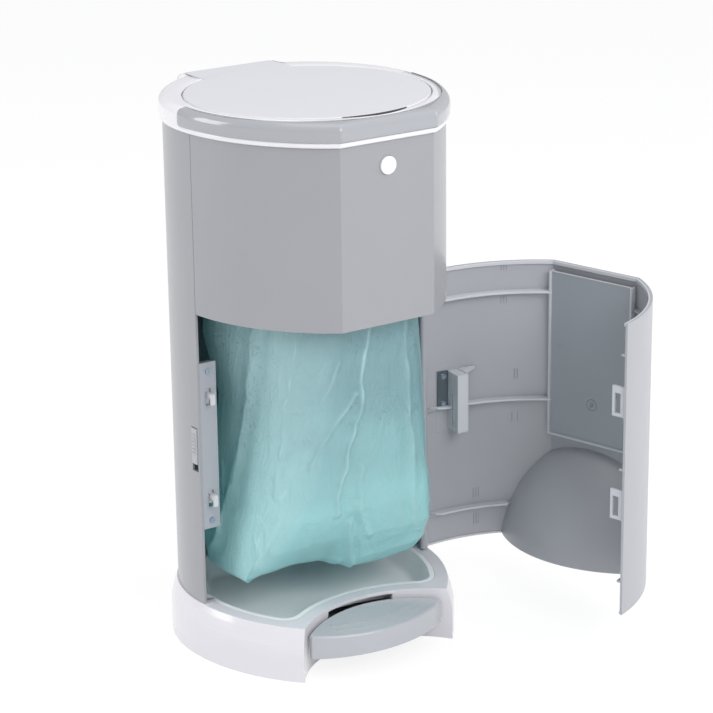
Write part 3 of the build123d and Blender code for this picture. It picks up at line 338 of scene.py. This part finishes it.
def film_material():
    """Thin tinted film: part of the light goes through; painted highlights along the folds, painted
    shade in the crumples.
    """
    material, tree, surface = shader("film")
    where = place_output(tree)

    # teal film, painted lighter at the bottom and greyer towards the top as painted shade, with a
    # wandering border
    height = tree.nodes.new("ShaderNodeSeparateXYZ")
    tree.links.new(where, height.inputs["Vector"])
    cloud = noise_node(tree, where, 9, 3.0)
    border = math_node(tree, "MULTIPLY_ADD", cloud, 0.16, height.outputs["Z"])
    share = remap(tree, border, 0.0, 1.0, from_low=0.25, from_high=0.42, smooth=True)
    ramp = tree.nodes.new("ShaderNodeValToRGB")
    ramp.color_ramp.elements[0].color = rgb(184, 240, 241)
    ramp.color_ramp.elements[1].color = rgb(158, 198, 204)
    tree.links.new(share, ramp.inputs["Fac"])

    # painted highlight along the folds; painted shade as darker lines along the crumples in the
    # upper part
    painted_light = tree.nodes.new("ShaderNodeAttribute")
    painted_light.attribute_name = "painted_light"
    bright = mix_colour(tree, painted_light.outputs["Fac"], ramp.outputs["Color"], rgb(206, 246, 247))
    crumple = noise_node(tree, where, 30, 4.0, distortion=2.4)
    line = math_node(tree, "COMPARE", crumple, 0.5, 0.014)
    patches = noise_node(tree, where, 11, 1.0)
    patches = remap(tree, patches, 0.0, 0.4, from_low=0.48, from_high=0.62)
    upper = math_node(tree, "MULTIPLY", share, patches)
    crumple_shade = math_node(tree, "MULTIPLY", line, upper)
    shade = mix_colour(tree, crumple_shade, bright, rgb(96, 132, 138))
    tree.links.new(shade, surface.inputs["Base Color"])
    surface.inputs["Roughness"].default_value = 0.3
    surface.inputs["Specular IOR Level"].default_value = 0.55

    # fine crinkles that run down the bag
    stretch = add_node(
        tree, "ShaderNodeMapping", Scale=(1.0, 1.0, 0.45), Rotation=(0.0, 0.5, 0.0)
    )
    tree.links.new(where, stretch.inputs["Vector"])
    crinkle = noise_node(tree, stretch.outputs["Vector"], 38, 5.0, distortion=1.6)
    bump(tree, surface, math_node(tree, "PINGPONG", crinkle, 0.09), 0.5, 0.012)

    through = tree.nodes.new("ShaderNodeBsdfTranslucent")
    tree.links.new(bright, through.inputs["Color"])
    mix = add_node(tree, "ShaderNodeMixShader", Fac=see_through)
    tree.links.new(surface.outputs["BSDF"], mix.inputs[1])
    tree.links.new(through.outputs["BSDF"], mix.inputs[2])
    tree.links.new(mix.outputs["Shader"], tree.nodes["Material Output"].inputs["Surface"])
    return material


# height, half width, front, back, corner radius, in millimetres
bag_sections = (
    (543.0, 98.3, -114.3, 82.3, 97.0),
    (494.0, 98.3, -114.3, 82.3, 97.0),
    (416.0, 100.0, -136.0, 68.0, 68.0),
    (296.0, 105.0, -134.0, 73.0, 56.0),
    (223.0, 107.6, -127.5, 74.0, 42.0),
    (182.0, 112.0, -121.0, 73.0, 30.0),
    (140.5, 121.0, -108.0, 70.0, 26.0),
    (112.5, 125.0, -94.0, 60.0, 30.0),
    (98.5, 125.0, -86.0, 55.0, 32.0),
    (88.0, 123.0, -80.0, 50.0, 32.0),
)


def bag_section(z):
    """Half width, front, back and corner radius of the bag at a height."""
    for high, low in zip(bag_sections, bag_sections[1:]):
        if z >= low[0]:
            share = min(1.0, (z - low[0]) / (high[0] - low[0]))
            return [a + (b - a) * share for a, b in zip(low[1:], high[1:])]
    return list(bag_sections[-1][1:])


def bag_point(turn, z):
    """Point, outward normal and distance along the section from the middle of the front."""
    half, front, rear, corner = bag_section(z)
    wide, deep = half - corner, rear - front - 2 * corner
    arc = math.pi * corner / 2
    total = 2 * (2 * wide + deep + 2 * arc)
    s = ((turn + 0.5) % 1.0 - 0.5) * total
    side = 1 if s >= 0 else -1
    d = abs(s)
    if d <= wide:
        x, y, normal = d, front, (0.0, -1.0)
    elif d <= wide + arc:
        a = (d - wide) / corner
        x, y = wide + corner * math.sin(a), front + corner * (1 - math.cos(a))
        normal = (math.sin(a), -math.cos(a))
    elif d <= wide + arc + deep:
        x, y, normal = half, front + corner + (d - wide - arc), (1.0, 0.0)
    elif d <= wide + 2 * arc + deep:
        a = (d - wide - arc - deep) / corner
        x, y = wide + corner * math.cos(a), rear - corner * (1 - math.sin(a))
        normal = (math.cos(a), math.sin(a))
    else:
        x, y, normal = wide - (d - wide - 2 * arc - deep), rear, (0.0, 1.0)
    return x * side, y, (normal[0] * side, normal[1]), s


# folds: a path of (distance from the front's middle, height), then how far the fold stands out,
# its width and the brightness of its painted highlight
folds = (
    (
        ((-138, 500), (-153, 399), (-175, 324), (-203, 235), (-222, 183), (-232, 120)),
        3.4, 6.5, 0.55,
    ),
    (((-84, 490), (-91, 409), (-104, 323), (-108, 300), (-113, 262)), 2.2, 2.6, 0.85),
    (
        ((14, 500), (0, 400), (-8, 355), (-7, 317), (-17, 291), (-28, 246), (-33, 222), (-36, 180)),
        2.8, 2.8, 1.0,
    ),
    (((58, 500), (52, 389), (60, 300), (72, 200), (80, 140)), 1.8, 4.5, 0.45),
    (((-38, 372), (-56, 341), (-85, 302), (-111, 261), (-122, 215)), 2.2, 4.5, 0.4),
    (((-14, 330), (-28, 315), (-61, 279), (-76, 250)), 1.6, 3.0, 0.5),
    (((-60, 322), (-101, 317)), 1.0, 2.2, 0.4),
    (((-88, 262), (-95, 240), (-116, 188), (-120, 150)), 2.6, 6.0, 0.45),
    (((-7, 236), (-4, 200), (4, 157), (10, 128)), 1.6, 3.0, 0.35),
    (((-8, 187), (12, 152), (20, 138)), 1.8, 3.4, 0.2),
    (((-12, 164), (-2, 130), (11, 94), (12, 86)), 2.6, 3.2, 0.6),
    (((98, 420), (108, 330), (118, 230), (126, 160)), 2.0, 5.0, 0.4),
    (((-241, 219), (-232, 180), (-227, 140)), 1.6, 2.6, 0.7),
    (((-150, 150), (-110, 112), (-40, 108), (0, 100)), 1.2, 5.0, 0.3),
    (((20, 104), (70, 106), (120, 112)), 1.2, 5.0, 0.25),
    (((200, 500), (204, 380), (196, 260), (206, 130)), 3.0, 6.0, 0.3),
    (((330, 500), (322, 360), (334, 240), (326, 110)), 3.0, 6.0, 0.3),
    (((-290, 500), (-296, 360), (-284, 240), (-298, 110)), 3.0, 6.0, 0.3),
    (((-360, 500), (-352, 360), (-366, 240), (-356, 110)), 3.0, 6.0, 0.3),
)
fold_margin, fold_reach = 20, 6  # in mm past the ends, and in widths to either side
fold_wander = 5.0
valley_depth, valley_place, valley_width = 0.4, 2.4, 1.5  # in heights and widths of the fold


def fold_at(s, z):
    """How far the folds stand out and the brightness of their painted highlight at a place on the
    bag.
    """
    rise, glow = 0.0, 0.0
    s += fold_wander * noise.noise(Vector((s * 0.02, z * 0.045, 2.0)))
    shine = 0.75 + 0.9 * noise.noise(Vector((s * 0.03, z * 0.05, 9.0)))
    for path, height, width, strength in folds:
        ends = path[0][1], path[-1][1]
        if z > ends[0] + fold_margin or z < min(ends) - fold_margin:
            continue
        nearest = math.inf
        for (s0, z0), (s1, z1) in zip(path, path[1:]):
            ds, dz = s1 - s0, z1 - z0
            along = clamp(((s - s0) * ds + (z - z0) * dz) / (ds * ds + dz * dz))
            nearest = min(nearest, math.hypot(s - s0 - along * ds, z - z0 - along * dz))
        if nearest < fold_reach * width:
            # a ridge with a shallow valley beside it
            ridge = math.exp(-((nearest / width) ** 1.4))
            off_valley = (nearest - valley_place * width) / (valley_width * width)
            rise += height * (ridge - valley_depth * math.exp(-(off_valley**2)))
            # painted highlight along the ridge
            light = math.exp(-((nearest / (0.6 * width)) ** 1.4))
            glow = max(glow, strength * shine * light)
    return rise, glow


# bottom line: distance from the front's middle, height, how far the front is drawn back
bottom_line = (
    (-480, 96, 0), (-330, 96, 0), (-250, 93, 0), (-200, 91, 4), (-160, 92, 14), (-130, 95, 27),
    (-100, 96, 37), (-60, 96, 42), (-20, 95, 33), (2, 91, 10), (14, 88, 0), (60, 87, 0),
    (100, 90, 0), (125, 97, 0), (150, 100, 0), (250, 100, 0), (330, 98, 0), (480, 96, 0),
)


def bottom_at(s):
    """Height of the bag's bottom line and how far its front is drawn back there."""
    for low, high in zip(bottom_line, bottom_line[1:]):
        if s <= high[0]:
            share = max(0.0, (s - low[0]) / (high[0] - low[0]))
            share = share * share * (3 - 2 * share)
            return low[1] + (high[1] - low[1]) * share, low[2] + (high[2] - low[2]) * share
    return bottom_line[-1][1:]


around, rings, bottom_rings = 460, 170, 14
bag_top, crowding = 543.0, 1.15  # the rings lie closer together towards the bottom
bottom_level = 120.0  # height at which the bottom line's distances are taken
draw_top, draw_low = 190.0, 92  # heights between which the front is drawn back
bulge, bulge_low, bulge_rise = 26, 300, 80  # how far the upper left stands out, and from where
round_rings, round_depth = 5, 7  # the lowest rings curve inwards
film_inset, free_below = 2.4, 200  # above that height the film stays inside the bag's plan
calm_height, wave_height = 60, 3.2  # the waves fade out below the top
crumple_low, crumple_rise, crumple_height = 250, 90, 1.3
# painted light on the side facing left, on the lowest rings and on the bottom
left_painted_light, hem_painted_light, hem_rings, bottom_painted_light = 0.55, 0.35, 4, 0.2
bottom_height, fold_share = 0.093, 0.35  # where the bottom ends, in metres and in the bag's width
pleat_height, pleat_floor = 0.004, -0.0015


def bag_vertex(turn, ring):
    """Point of the hanging film in metres, and how much painted light it gets."""
    low, drawn = bottom_at(bag_point(turn, bottom_level)[3])
    level = low + (bag_top - low) * (ring / rings) ** crowding
    x, y, normal, s = bag_point(turn, level)
    facing_front, facing_left = max(0.0, -normal[1]), max(0.0, -normal[0])
    if y < 0:
        fade = clamp((draw_top - level) / (draw_top - draw_low))
        y += drawn * fade * fade * facing_front**0.5
    rise, glow = fold_at(s, level)
    if x < 0 and level > bulge_low:
        x -= bulge * min(1.0, (level - bulge_low) / bulge_rise) * clamp((y + 60) / 100)
    spot = Vector((x, y, level)) / 1000

    calm = clamp((bag_top - level) / calm_height)
    wave = wave_height * noise.noise(Vector((spot.x * 13, spot.y * 13, spot.z * 6)))
    crush = noise.noise(Vector((spot.x * 34, spot.y * 34 + 7, spot.z * 24)))
    crush = max(0.0, 1.0 - abs(crush) * 3)
    upper = clamp((level - crumple_low) / crumple_rise) * facing_front
    inset = film_inset - rise - calm * (wave + crumple_height * upper * crush)
    if level > free_below:
        inset = max(0.0, inset)
    if ring < round_rings:
        inset += round_depth * (1 - math.sin(math.pi / 2 * (ring + 1) / (round_rings + 1)))
    shift = [n * inset / 1000 for n in normal]
    # painted light on the side facing left and near the bottom, over the fold highlights
    glow = max(glow, left_painted_light * facing_left**0.7, hem_painted_light * (1 - ring / hem_rings))
    return (spot.x - shift[0], spot.y - shift[1], spot.z), glow


vertices, faces, painted_light_levels = [], [], []
for ring in range(rings + 1):
    for step in range(around):
        vertex, glow = bag_vertex(step / around, ring)
        vertices.append(vertex)
        painted_light_levels.append(glow)
for ring in range(rings):
    for step in range(around):
        a, b = ring * around + step, ring * around + (step + 1) % around
        faces.append((a, b, b + around, a + around))
# bottom of the bag, drawn in towards a low fold
last = 0
for ring in range(1, bottom_rings + 1):
    share = ring / bottom_rings
    start = len(vertices)
    sag = 0.0008 * math.sin(math.pi * min(1.0, share * 4))
    for step in range(around):
        x, y, z = vertices[step]
        spot = Vector((x, y)).lerp(Vector((x * fold_share, 0.0)), share)
        pleat = noise.noise(Vector((spot.x * 22, spot.y * 22, 3.0)))
        pleat = max(pleat_floor, pleat_height * pleat * min(1, share * 3))
        level = z + (bottom_height - z) * min(1.0, share * 1.6) - sag
        vertices.append((spot.x, spot.y, level + pleat))
        # painted light on the bottom
        painted_light_levels.append(bottom_painted_light)
    for step in range(around):
        after = (step + 1) % around
        faces.append((last + after, last + step, start + step, start + after))
    last = start
bag = mesh_object("bag_film", vertices, faces, film_material())
# painted light per point, read by the film's shader
painted_light_layer = bag.data.attributes.new("painted_light", "FLOAT", "POINT")
painted_light_layer.data.foreach_set("value", painted_light_levels)
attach(bag, "pail")
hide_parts("liner_bag")

# ---- Body's plan, in millimetres ----------------------------------------------------------------
body_side, body_face, bow_bend, spine_half = 158.0, 176.0, 210.0, 66.0
bow_shift = bow_bend - body_side
well_y, tab_edge = -16.0, 60.8
side_steps, bow_steps, face_steps = 40, 90, 40


def plan_points(outset):
    """Body's plan from the tab's edge round the front to its other edge, moved outwards."""
    side, bow, face = body_side + outset, bow_bend + outset, body_face + outset
    spine_y, spine_x = body_side + 0.6 * outset, spine_half + 0.6 * outset
    corner = math.sqrt(side**2 - spine_x**2)
    half = [(tab_edge + (spine_x - tab_edge) * i / 3, spine_y) for i in range(3)]
    half += [(spine_x, spine_y + (corner - spine_y) * i / 4) for i in range(4)]
    first = math.acos(spine_x / side)
    for i in range(side_steps):
        angle = first * (1 - i / side_steps)
        half.append((side * math.cos(angle), side * math.sin(angle)))
    last = math.asin(face / bow)
    for i in range(bow_steps):
        angle = last * i / bow_steps
        half.append((bow * math.cos(angle) - bow_shift, -bow * math.sin(angle)))
    front = bow * math.cos(last) - bow_shift
    half += [(front * (1 - i / face_steps), -face) for i in range(face_steps)]
    return half + [(0.0, -face)] + [(-x, y) for x, y in reversed(half)]


# ---- Collar rim ---------------------------------------------------------------------------------
rim_top, rim_bottom, lid_room, ring_edge = 659.5, 655.03, 143.2, 154.0
notch_depth, notch_half = 5.0, 44
sink_start, sink_length = 1.0, 8  # the rim sinks under the bumper from here towards the front
outer_points = plan_points(0)
places = len(outer_points)


def lid_turn(x, y):
    """Angle round the lid of a point of the plan, kept clear of the lid's tab."""
    tab_turn = math.acos(tab_edge / lid_room)
    angle = math.atan2(y - well_y, x)
    if abs(angle) <= math.pi / 2:
        return min(angle, tab_turn)
    return max(angle if angle > 0 else angle + 2 * math.pi, math.pi - tab_turn)


inner_turns = [lid_turn(x, y) for x, y in outer_points]


def well_points(radius, notch=0.0):
    """Circle round the lid, with the finger notch at the front."""
    points = []
    for angle in inner_turns:
        x, reach = radius * math.cos(angle), radius
        if math.sin(angle) < 0 and abs(x) < notch_half:
            reach += notch * (1 - (x / notch_half) ** 2)
        points.append((reach * math.cos(angle), well_y + reach * math.sin(angle)))
    return points


def band(name, rows, material, kept=range(places)):
    """Closed moulding along part of the plan: each row holds its points and their heights."""
    made, quads = [], []
    add_bar(
        [[(p[i][0] / 1000, p[i][1] / 1000, h[i] / 1000) for p, h in rows] for i in kept],
        made,
        quads,
    )
    piece = mesh_object(name, made, quads, material)
    tidy_mesh(piece)
    for polygon in piece.data.polygons:
        if len(polygon.vertices) > 4:
            polygon.use_smooth = False
    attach(piece, "top")
    return piece


def level_row(outset, height):
    """Row at one outset and one height."""
    return plan_points(outset), [height] * places


def sunk_row(outset, height, inwards, down=0.0):
    """Row that makes room for the bumper: it sinks away where the bumper covers it."""
    points, low_points = plan_points(outset), plan_points(outset - inwards)
    heights = [height] * places
    for i, (_, y) in enumerate(outer_points):
        sink = clamp((sink_start - y) / sink_length)
        if sink > 0:
            points[i] = tuple(a + (b - a) * sink for a, b in zip(points[i], low_points[i]))
            heights[i] -= down * sink
    return points, heights


shoulder, swell, shoulder_z, shoulder_steps = 9.0, 4.0, 650.5, 8
side_sink, top_sink, top_drop = 2.6, 3.0, 1.6
rim_rows = [
    (well_points(lid_room, notch_depth), [rim_bottom] * places),
    level_row(1.95, rim_bottom),
    level_row(1.95, 632.8),
    level_row(2.2, 632.65),
    level_row(2.8, 633.4),
    level_row(3.5, 637.0),
    sunk_row(3.9, 642.5, side_sink),
    sunk_row(swell, shoulder_z - 2, side_sink),
]
for step in range(shoulder_steps + 1):
    angle = math.pi / 2 * step / shoulder_steps
    outset = swell - shoulder * (1 - math.cos(angle))
    height = shoulder_z + shoulder * math.sin(angle)
    rim_rows.append(sunk_row(outset, height, top_sink, top_drop))
rim_rows += [
    (well_points(ring_edge), [rim_top] * places),
    (well_points(lid_room + 1.0, notch_depth), [rim_top] * places),
    (well_points(lid_room + 0.2, notch_depth), [rim_top - 0.3] * places),
    (well_points(lid_room, notch_depth), [rim_top - 1.0] * places),
]
rim = band("collar_rim", rim_rows, collar_white)

# ---- Bumper -------------------------------------------------------------------------------------
bumper_swell, bumper_round, bumper_top, bumper_steps = 5.0, 9.3, 659.8, 10
bumper_lip, end_thickness = 1.2, 0.8
end_y, end_radius, end_z = -7.5, 11.5, 649.0
profile = [
    (3.0, 638.15),
    (4.2, 638.6),
    (4.7, 640.0),
    (bumper_swell, 644.0),
    (bumper_swell, 648.5),
]
for step in range(bumper_steps + 1):
    angle = math.pi / 2 * step / bumper_steps
    outset = bumper_swell - bumper_round * (1 - math.cos(angle))
    profile.append((outset, bumper_top - bumper_round * (1 - math.sin(angle))))


def clipped(k, y):
    """Outset and height of a profile point, and the room there, at the bumper's round ends."""
    room = math.inf
    if y > end_y:
        room = math.sqrt(max(0.0, end_radius**2 - (y - end_y) ** 2))
    high = end_z + room
    outset, z = profile[k]
    wanted = max(end_z - room, min(high, z))
    if wanted != z:
        for (o0, z0), (o1, z1) in zip(profile, profile[1:]):
            if z0 <= wanted <= z1 and z1 > z0:
                outset = o0 + (o1 - o0) * (wanted - z0) / (z1 - z0)
    return outset, wanted, high


plans = {}


def plan_at(outset, i):
    """Point of the plan, kept for each outset."""
    key = round(outset, 3)
    if key not in plans:
        plans[key] = plan_points(key)
    return plans[key][i]


bumper_rows = []
for k in range(len(profile)):
    points, heights = [], []
    for i, (_, y) in enumerate(outer_points):
        outset, z, _ = clipped(k, y)
        points.append(plan_at(outset, i))
        heights.append(z)
    bumper_rows.append((points, heights))
# inside of the bumper: height, and its outset where it isn't the circle round the lid
lid_circle = well_points(ring_edge + 0.3)
for height, inside in (
    (bumper_top, None),
    (bumper_top - bumper_lip, None),
    (bumper_top - bumper_lip, -4.0),
    (648.5, 2.2),
):
    points, heights = [], []
    for i, (_, y) in enumerate(outer_points):
        outset, z, high = clipped(len(profile) - 1, y)
        if high >= bumper_top:
            points.append(lid_circle[i] if inside is None else plan_at(inside, i))
            heights.append(height)
        elif inside is None:
            points.append(plan_at(outset, i))
            heights.append(z)
        else:
            points.append(plan_at(outset - end_thickness, i))
            heights.append(min(z, height))
    bumper_rows.append((points, heights))
covered = [i for i, (_, y) in enumerate(outer_points) if y <= end_y + end_radius]
bumper = band("bumper_band", bumper_rows, bumper_grey, covered)
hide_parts("top_bumper")

# ---- Door: places given on the closed door, in millimetres --------------------------------------
hinge_x, hinge_y = 150.5, -31.0
open_angle = math.radians(105)
face_half, skin = 62.56, 2.8
edge_softness = 0.0005


def door_point(x, y, z):
    """Point given on the closed door, in metres on the open one."""
    dx, dy = x - hinge_x, y - hinge_y
    cos, sin = math.cos(open_angle), math.sin(open_angle)
    return (
        (hinge_x + cos * dx - sin * dy) / 1000,
        (hinge_y + sin * dx + cos * dy) / 1000,
        z / 1000,
    )


def bow_point(angle, inset, z):
    """Point on the door's bowed side on the hinge's side, inset from its outside."""
    turn = math.radians(angle)
    bow = bow_bend - inset
    return door_point(bow * math.cos(turn) - bow_shift, -bow * math.sin(turn), z)


def door_bars(name, boxes, material):
    """One moulding made of bars given by ranges of x, y and z, with softened edges."""
    made, quads = [], []
    for (x0, x1), (y0, y1), (z0, z1) in boxes:
        plan = ((x0, y0), (x1, y0), (x1, y1), (x0, y1))
        add_box([door_point(x, y, z) for z in (z0, z1) for x, y in plan], made, quads)
    piece = mesh_object(name, made, quads, material, smooth=False)
    tidy_mesh(piece, soften=edge_softness)
    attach(piece, "door")
    return piece


# ---- Door: pocket -------------------------------------------------------------------------------
pocket_half, pocket_back, pocket_face = 61.0, -172.9, -165.2
pocket_low, pocket_high = 200.2, 410.0
edge, edge_rise = 2.8, 2.6
panel_x = (-pocket_half + 1, pocket_half - 1)
panel_z = (pocket_low + 1, pocket_high - 1)
wall_y = (pocket_back, pocket_face)
pocket = door_bars(
    "pocket_panel",
    (
        (panel_x, (pocket_face - 1.8, pocket_face), panel_z),
        ((-pocket_half + 1.5, -pocket_half + 3), wall_y, panel_z),
        ((pocket_half - 3, pocket_half - 1.5), wall_y, panel_z),
        ((-pocket_half + 2, pocket_half - 2), wall_y, (pocket_low + 1.5, pocket_low + 3)),
    ),
    pocket_grey,
)
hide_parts("door_pocket")
edge_y = (pocket_back + 1, pocket_face + edge_rise)
edge_z = (pocket_low, pocket_high)
# pocket frame in the lighter grey: painted highlight on its edges
door_bars(
    "pocket_edge",
    (
        ((-pocket_half, -pocket_half + edge), edge_y, edge_z),
        ((pocket_half - edge, pocket_half), edge_y, edge_z),
        (panel_x, edge_y, (pocket_low, pocket_low + edge)),
        (panel_x, (pocket_face - 2.0, pocket_face + 0.5), (pocket_high - 1.6, pocket_high)),
    ),
    edge_highlight_grey,
)

# ---- Door: ribs, as height and the angle at which they end --------------------------------------
rib_start, rib_steps = 12.0, 40
rib_low, rib_depth, runout_steps = 3.4, 9.8, 5  # each rib rises from low to deep at the hinge
made, quads = [], []
for height, rib_end in ((381.0, 56.5), (243.5, 56.5), (106.0, 41.5)):
    foot = height - 0.2
    sections = []
    for i in range(rib_steps + 1):
        angle = rib_start + (rib_end - rib_start) * i / rib_steps
        reach = rib_low + rib_depth * min(1.0, (i + 0.2) / runout_steps)
        outline = (
            (skin, 0.0), (reach - 0.5, 0.2), (reach, 0.5),
            (reach, 2.6), (reach - 0.5, 3.0), (skin, 3.2),
        )
        sections.append([bow_point(angle, inset, foot + lift) for inset, lift in outline])
    add_bar(sections, made, quads)
# ribs in the lighter grey: painted highlight on their top faces
ribs = mesh_object("door_rib_strips", made, quads, edge_highlight_grey, smooth=False)
tidy_mesh(ribs)
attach(ribs, "door")


# ---- Door: lips along its top and its bottom ----------------------------------------------------
def wall_point(share, inset, z):
    """Point along the inside of the door from its hinge side (0) to its free edge (1)."""
    bend = math.degrees(math.asin(body_face / bow_bend))
    first, last = 9.5, 5.0  # degrees left free at the two edges
    hinge_side = math.radians(bend - first) * bow_bend
    free_side = math.radians(bend - last) * bow_bend
    along = share * (hinge_side + 2 * face_half + free_side)
    if along <= hinge_side:
        return bow_point(first + math.degrees(along / bow_bend), inset, z)
    along -= hinge_side
    if along <= 2 * face_half:
        return door_point(face_half - along, -body_face + inset, z)
    turn = math.radians(bend) - (along - 2 * face_half) / bow_bend
    bow = bow_bend - inset
    return door_point(-(bow * math.cos(turn) - bow_shift), -bow * math.sin(turn), z)


# low and high edge, inset, and the share of the door's width from and to; the toe dome is left out
lip_steps = 150
made, quads = [], []
for low, high, depth, first, last in (
    (416.2, 420.3, 5.2, 0.0, 1.0),
    (66.8, 69.2, 4.6, 0.0, 0.225),
    (66.8, 69.2, 4.6, 0.75, 1.0),
):
    outline = (
        (skin, low + 0.8), (depth, low), (depth, high - 0.4), (depth - 0.4, high), (skin, high),
    )
    sections = []
    for i in range(lip_steps + 1):
        share = first + (last - first) * i / lip_steps
        sections.append([wall_point(share, inset, z) for inset, z in outline])
    add_bar(sections, made, quads)
# lips in the lighter grey: painted highlight
lips = mesh_object("door_lips", made, quads, edge_highlight_grey, smooth=False)
tidy_mesh(lips)
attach(lips, "door")

# ---- Door: tick marks on the bowed wall, as angle, low end and high end -------------------------
tick_width, tick_proud, tick_taper, tick_gap = 1.0, 0.7, 0.6, 0.95
wall_inset = 3.0
marks = [(43.8, 269.0, 282.0), (44.8, 269.0, 282.0), (43.1, 214.0, 226.0), (45.0, 214.0, 226.0)]
triples = (
    (40.0, 409.2, 418.3),
    (40.0, 367.6, 378.8),
    (30.3, 117.8, 130.0),
    (30.5, 82.0, 96.6),
)
shifts = (-tick_gap, 0, tick_gap)
marks = [(angle + shift, *ends) for angle, *ends in triples for shift in shifts] + marks
spread = math.degrees(tick_width / 2 / (bow_bend - wall_inset))
made, quads = [], []
for angle, low, high in marks:
    outline = (
        (angle - spread, wall_inset - 0.1),
        (angle + spread, wall_inset - 0.1),
        (angle + spread * tick_taper, wall_inset + tick_proud),
        (angle - spread * tick_taper, wall_inset + tick_proud),
    )
    add_box([bow_point(a, inset, z) for z in (low, high) for a, inset in outline], made, quads)
# ticks in the darker pocket grey: painted shade that sets them off from the wall
ticks = mesh_object("door_ticks", made, quads, pocket_grey, smooth=False)
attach(ticks, "door")

# ---- Door: round gate and ejector marks on the pocket, as x, z, then radius and how proud -------
gate_marks = (
    (-4.0, 250.6, ((7.6, 0.35), (6.9, 0.35), (2.6, 0.3), (1.7, 0.9))),
    (43.6, 316.0, ((3.2, 0.3),)),
)
ring_steps, ring_half, ring_sunk = 36, 0.28, -0.1
made, quads = [], []
for x, z, circles in gate_marks:
    for radius, proud in circles:
        start = len(made)
        for i in range(ring_steps):
            angle = 2 * math.pi * i / ring_steps
            for wider, lift in ((ring_half, ring_sunk), (0.0, proud), (-ring_half, ring_sunk)):
                aside = (radius + wider) * math.cos(angle)
                above = (radius + wider) * math.sin(angle)
                made.append(door_point(x + aside, pocket_face + lift, z + above))
        for i in range(ring_steps):
            a, b = start + i * 3, start + (i + 1) % ring_steps * 3
            for k in range(3):
                after = (k + 1) % 3
                quads.append((a + k, b + k, b + after, a + after))
gates = mesh_object("pocket_rings", made, quads, pocket_grey)
tidy_mesh(gates)
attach(gates, "door")

# ---- Lid's finger slit: a dark strip that stands for the shade under the lid's front edge -------
slit_shade_steps, slit_shade_angle = 48, 35.0
sections = []
for i in range(slit_shade_steps + 1):
    angle = math.radians(-90 - slit_shade_angle / 2 + slit_shade_angle * i / slit_shade_steps)
    fade = min(1.0, 3.0 * min(i, slit_shade_steps - i) / slit_shade_steps + 0.15)
    outline = (
        (141.2, 656.6),
        (142.5, 656.4),
        (142.7 + 0.8 * fade, 659.0),
        (142.4 + 0.6 * fade, 659.9),
        (141.2, 659.7),
    )
    cos, sin = math.cos(angle), math.sin(angle)
    sections.append([(r * cos / 1000, (well_y + r * sin) / 1000, z / 1000) for r, z in outline])
made, quads = [], []
add_bar(sections, made, quads)
slit_shade = mesh_object("lid_slit_shade", made, quads, seal_and_slit_shade_black)
tidy_mesh(slit_shade)
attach(slit_shade, "lid")

# ---- Floor and backdrop: white to the camera, pale grey to the pail -----------------------------
floor_material = bpy.data.materials.new("floor")
floor_material.use_nodes = True
tree = floor_material.node_tree
tree.nodes.remove(tree.nodes["Principled BSDF"])
plain = add_node(tree, "ShaderNodeBsdfDiffuse", Color=(0.82, 0.82, 0.83, 1))
lit = add_node(tree, "ShaderNodeBsdfDiffuse", Color=(0.2, 0.2, 0.2, 1))
glow = add_node(tree, "ShaderNodeEmission", Color=(1, 1, 1, 1), Strength=0.84)
total = tree.nodes.new("ShaderNodeAddShader")
tree.links.new(lit.outputs[0], total.inputs[0])
tree.links.new(glow.outputs[0], total.inputs[1])
rays = tree.nodes.new("ShaderNodeLightPath")
seen = math_node(tree, "MAXIMUM", rays.outputs["Is Camera Ray"], rays.outputs["Is Glossy Ray"])
seen = math_node(tree, "MAXIMUM", seen, rays.outputs["Is Transmission Ray"])
choose = tree.nodes.new("ShaderNodeMixShader")
tree.links.new(seen, choose.inputs["Fac"])
tree.links.new(plain.outputs[0], choose.inputs[1])
tree.links.new(total.outputs[0], choose.inputs[2])
tree.links.new(choose.outputs[0], tree.nodes["Material Output"].inputs["Surface"])
floor_half = 6
corners = [(-1, -1), (1, -1), (1, 1), (-1, 1)]
floor_vertices = [(x * floor_half, y * floor_half, 0) for x, y in corners]
floor = mesh_object("floor", floor_vertices, [(0, 1, 2, 3)], floor_material, smooth=False)

# ---- Light --------------------------------------------------------------------------------------
world = bpy.data.worlds.new("world")
bpy.context.scene.world = world
world.use_nodes = True
tree = world.node_tree
ambient = tree.nodes["Background"]
ambient.inputs["Color"].default_value = (0.97, 0.975, 1.0, 1)
ambient.inputs["Strength"].default_value = 0.6
white = add_node(tree, "ShaderNodeBackground", Color=(1, 1, 1, 1), Strength=1.0)
rays = tree.nodes.new("ShaderNodeLightPath")
choose = tree.nodes.new("ShaderNodeMixShader")
tree.links.new(rays.outputs["Is Camera Ray"], choose.inputs["Fac"])
tree.links.new(ambient.outputs[0], choose.inputs[1])
tree.links.new(white.outputs[0], choose.inputs[2])
tree.links.new(choose.outputs[0], tree.nodes["World Output"].inputs["Surface"])


def area_light(name, place, aim, width, height, power):
    """Soft box that looks from one point to another."""
    data = bpy.data.lights.new(name, "AREA")
    data.shape = "RECTANGLE"
    data.size, data.size_y = width, height
    data.energy = power
    lamp = bpy.data.objects.new(name, data)
    direction = Vector(aim) - Vector(place)
    turn = direction.to_track_quat("-Z", "Y").to_matrix().to_4x4()
    lamp.matrix_world = Matrix.Translation(place) @ turn
    bpy.context.scene.collection.objects.link(lamp)


area_light("left_box", (-2.7, 1.4, 1.3), (0, 0, 0.35), 1.2, 2.0, 36)
area_light("front_box", (0.2, -2.6, 1.9), (0, 0, 0.25), 2.0, 1.6, 44)
area_light("right_box", (2.7, -1.3, 1.6), (0, 0, 0.35), 1.4, 1.8, 19)
area_light("top_box", (0.2, -0.2, 2.8), (0, 0, 0.3), 2.0, 2.0, 12)

bpy.context.scene.view_settings.view_transform = "Standard"
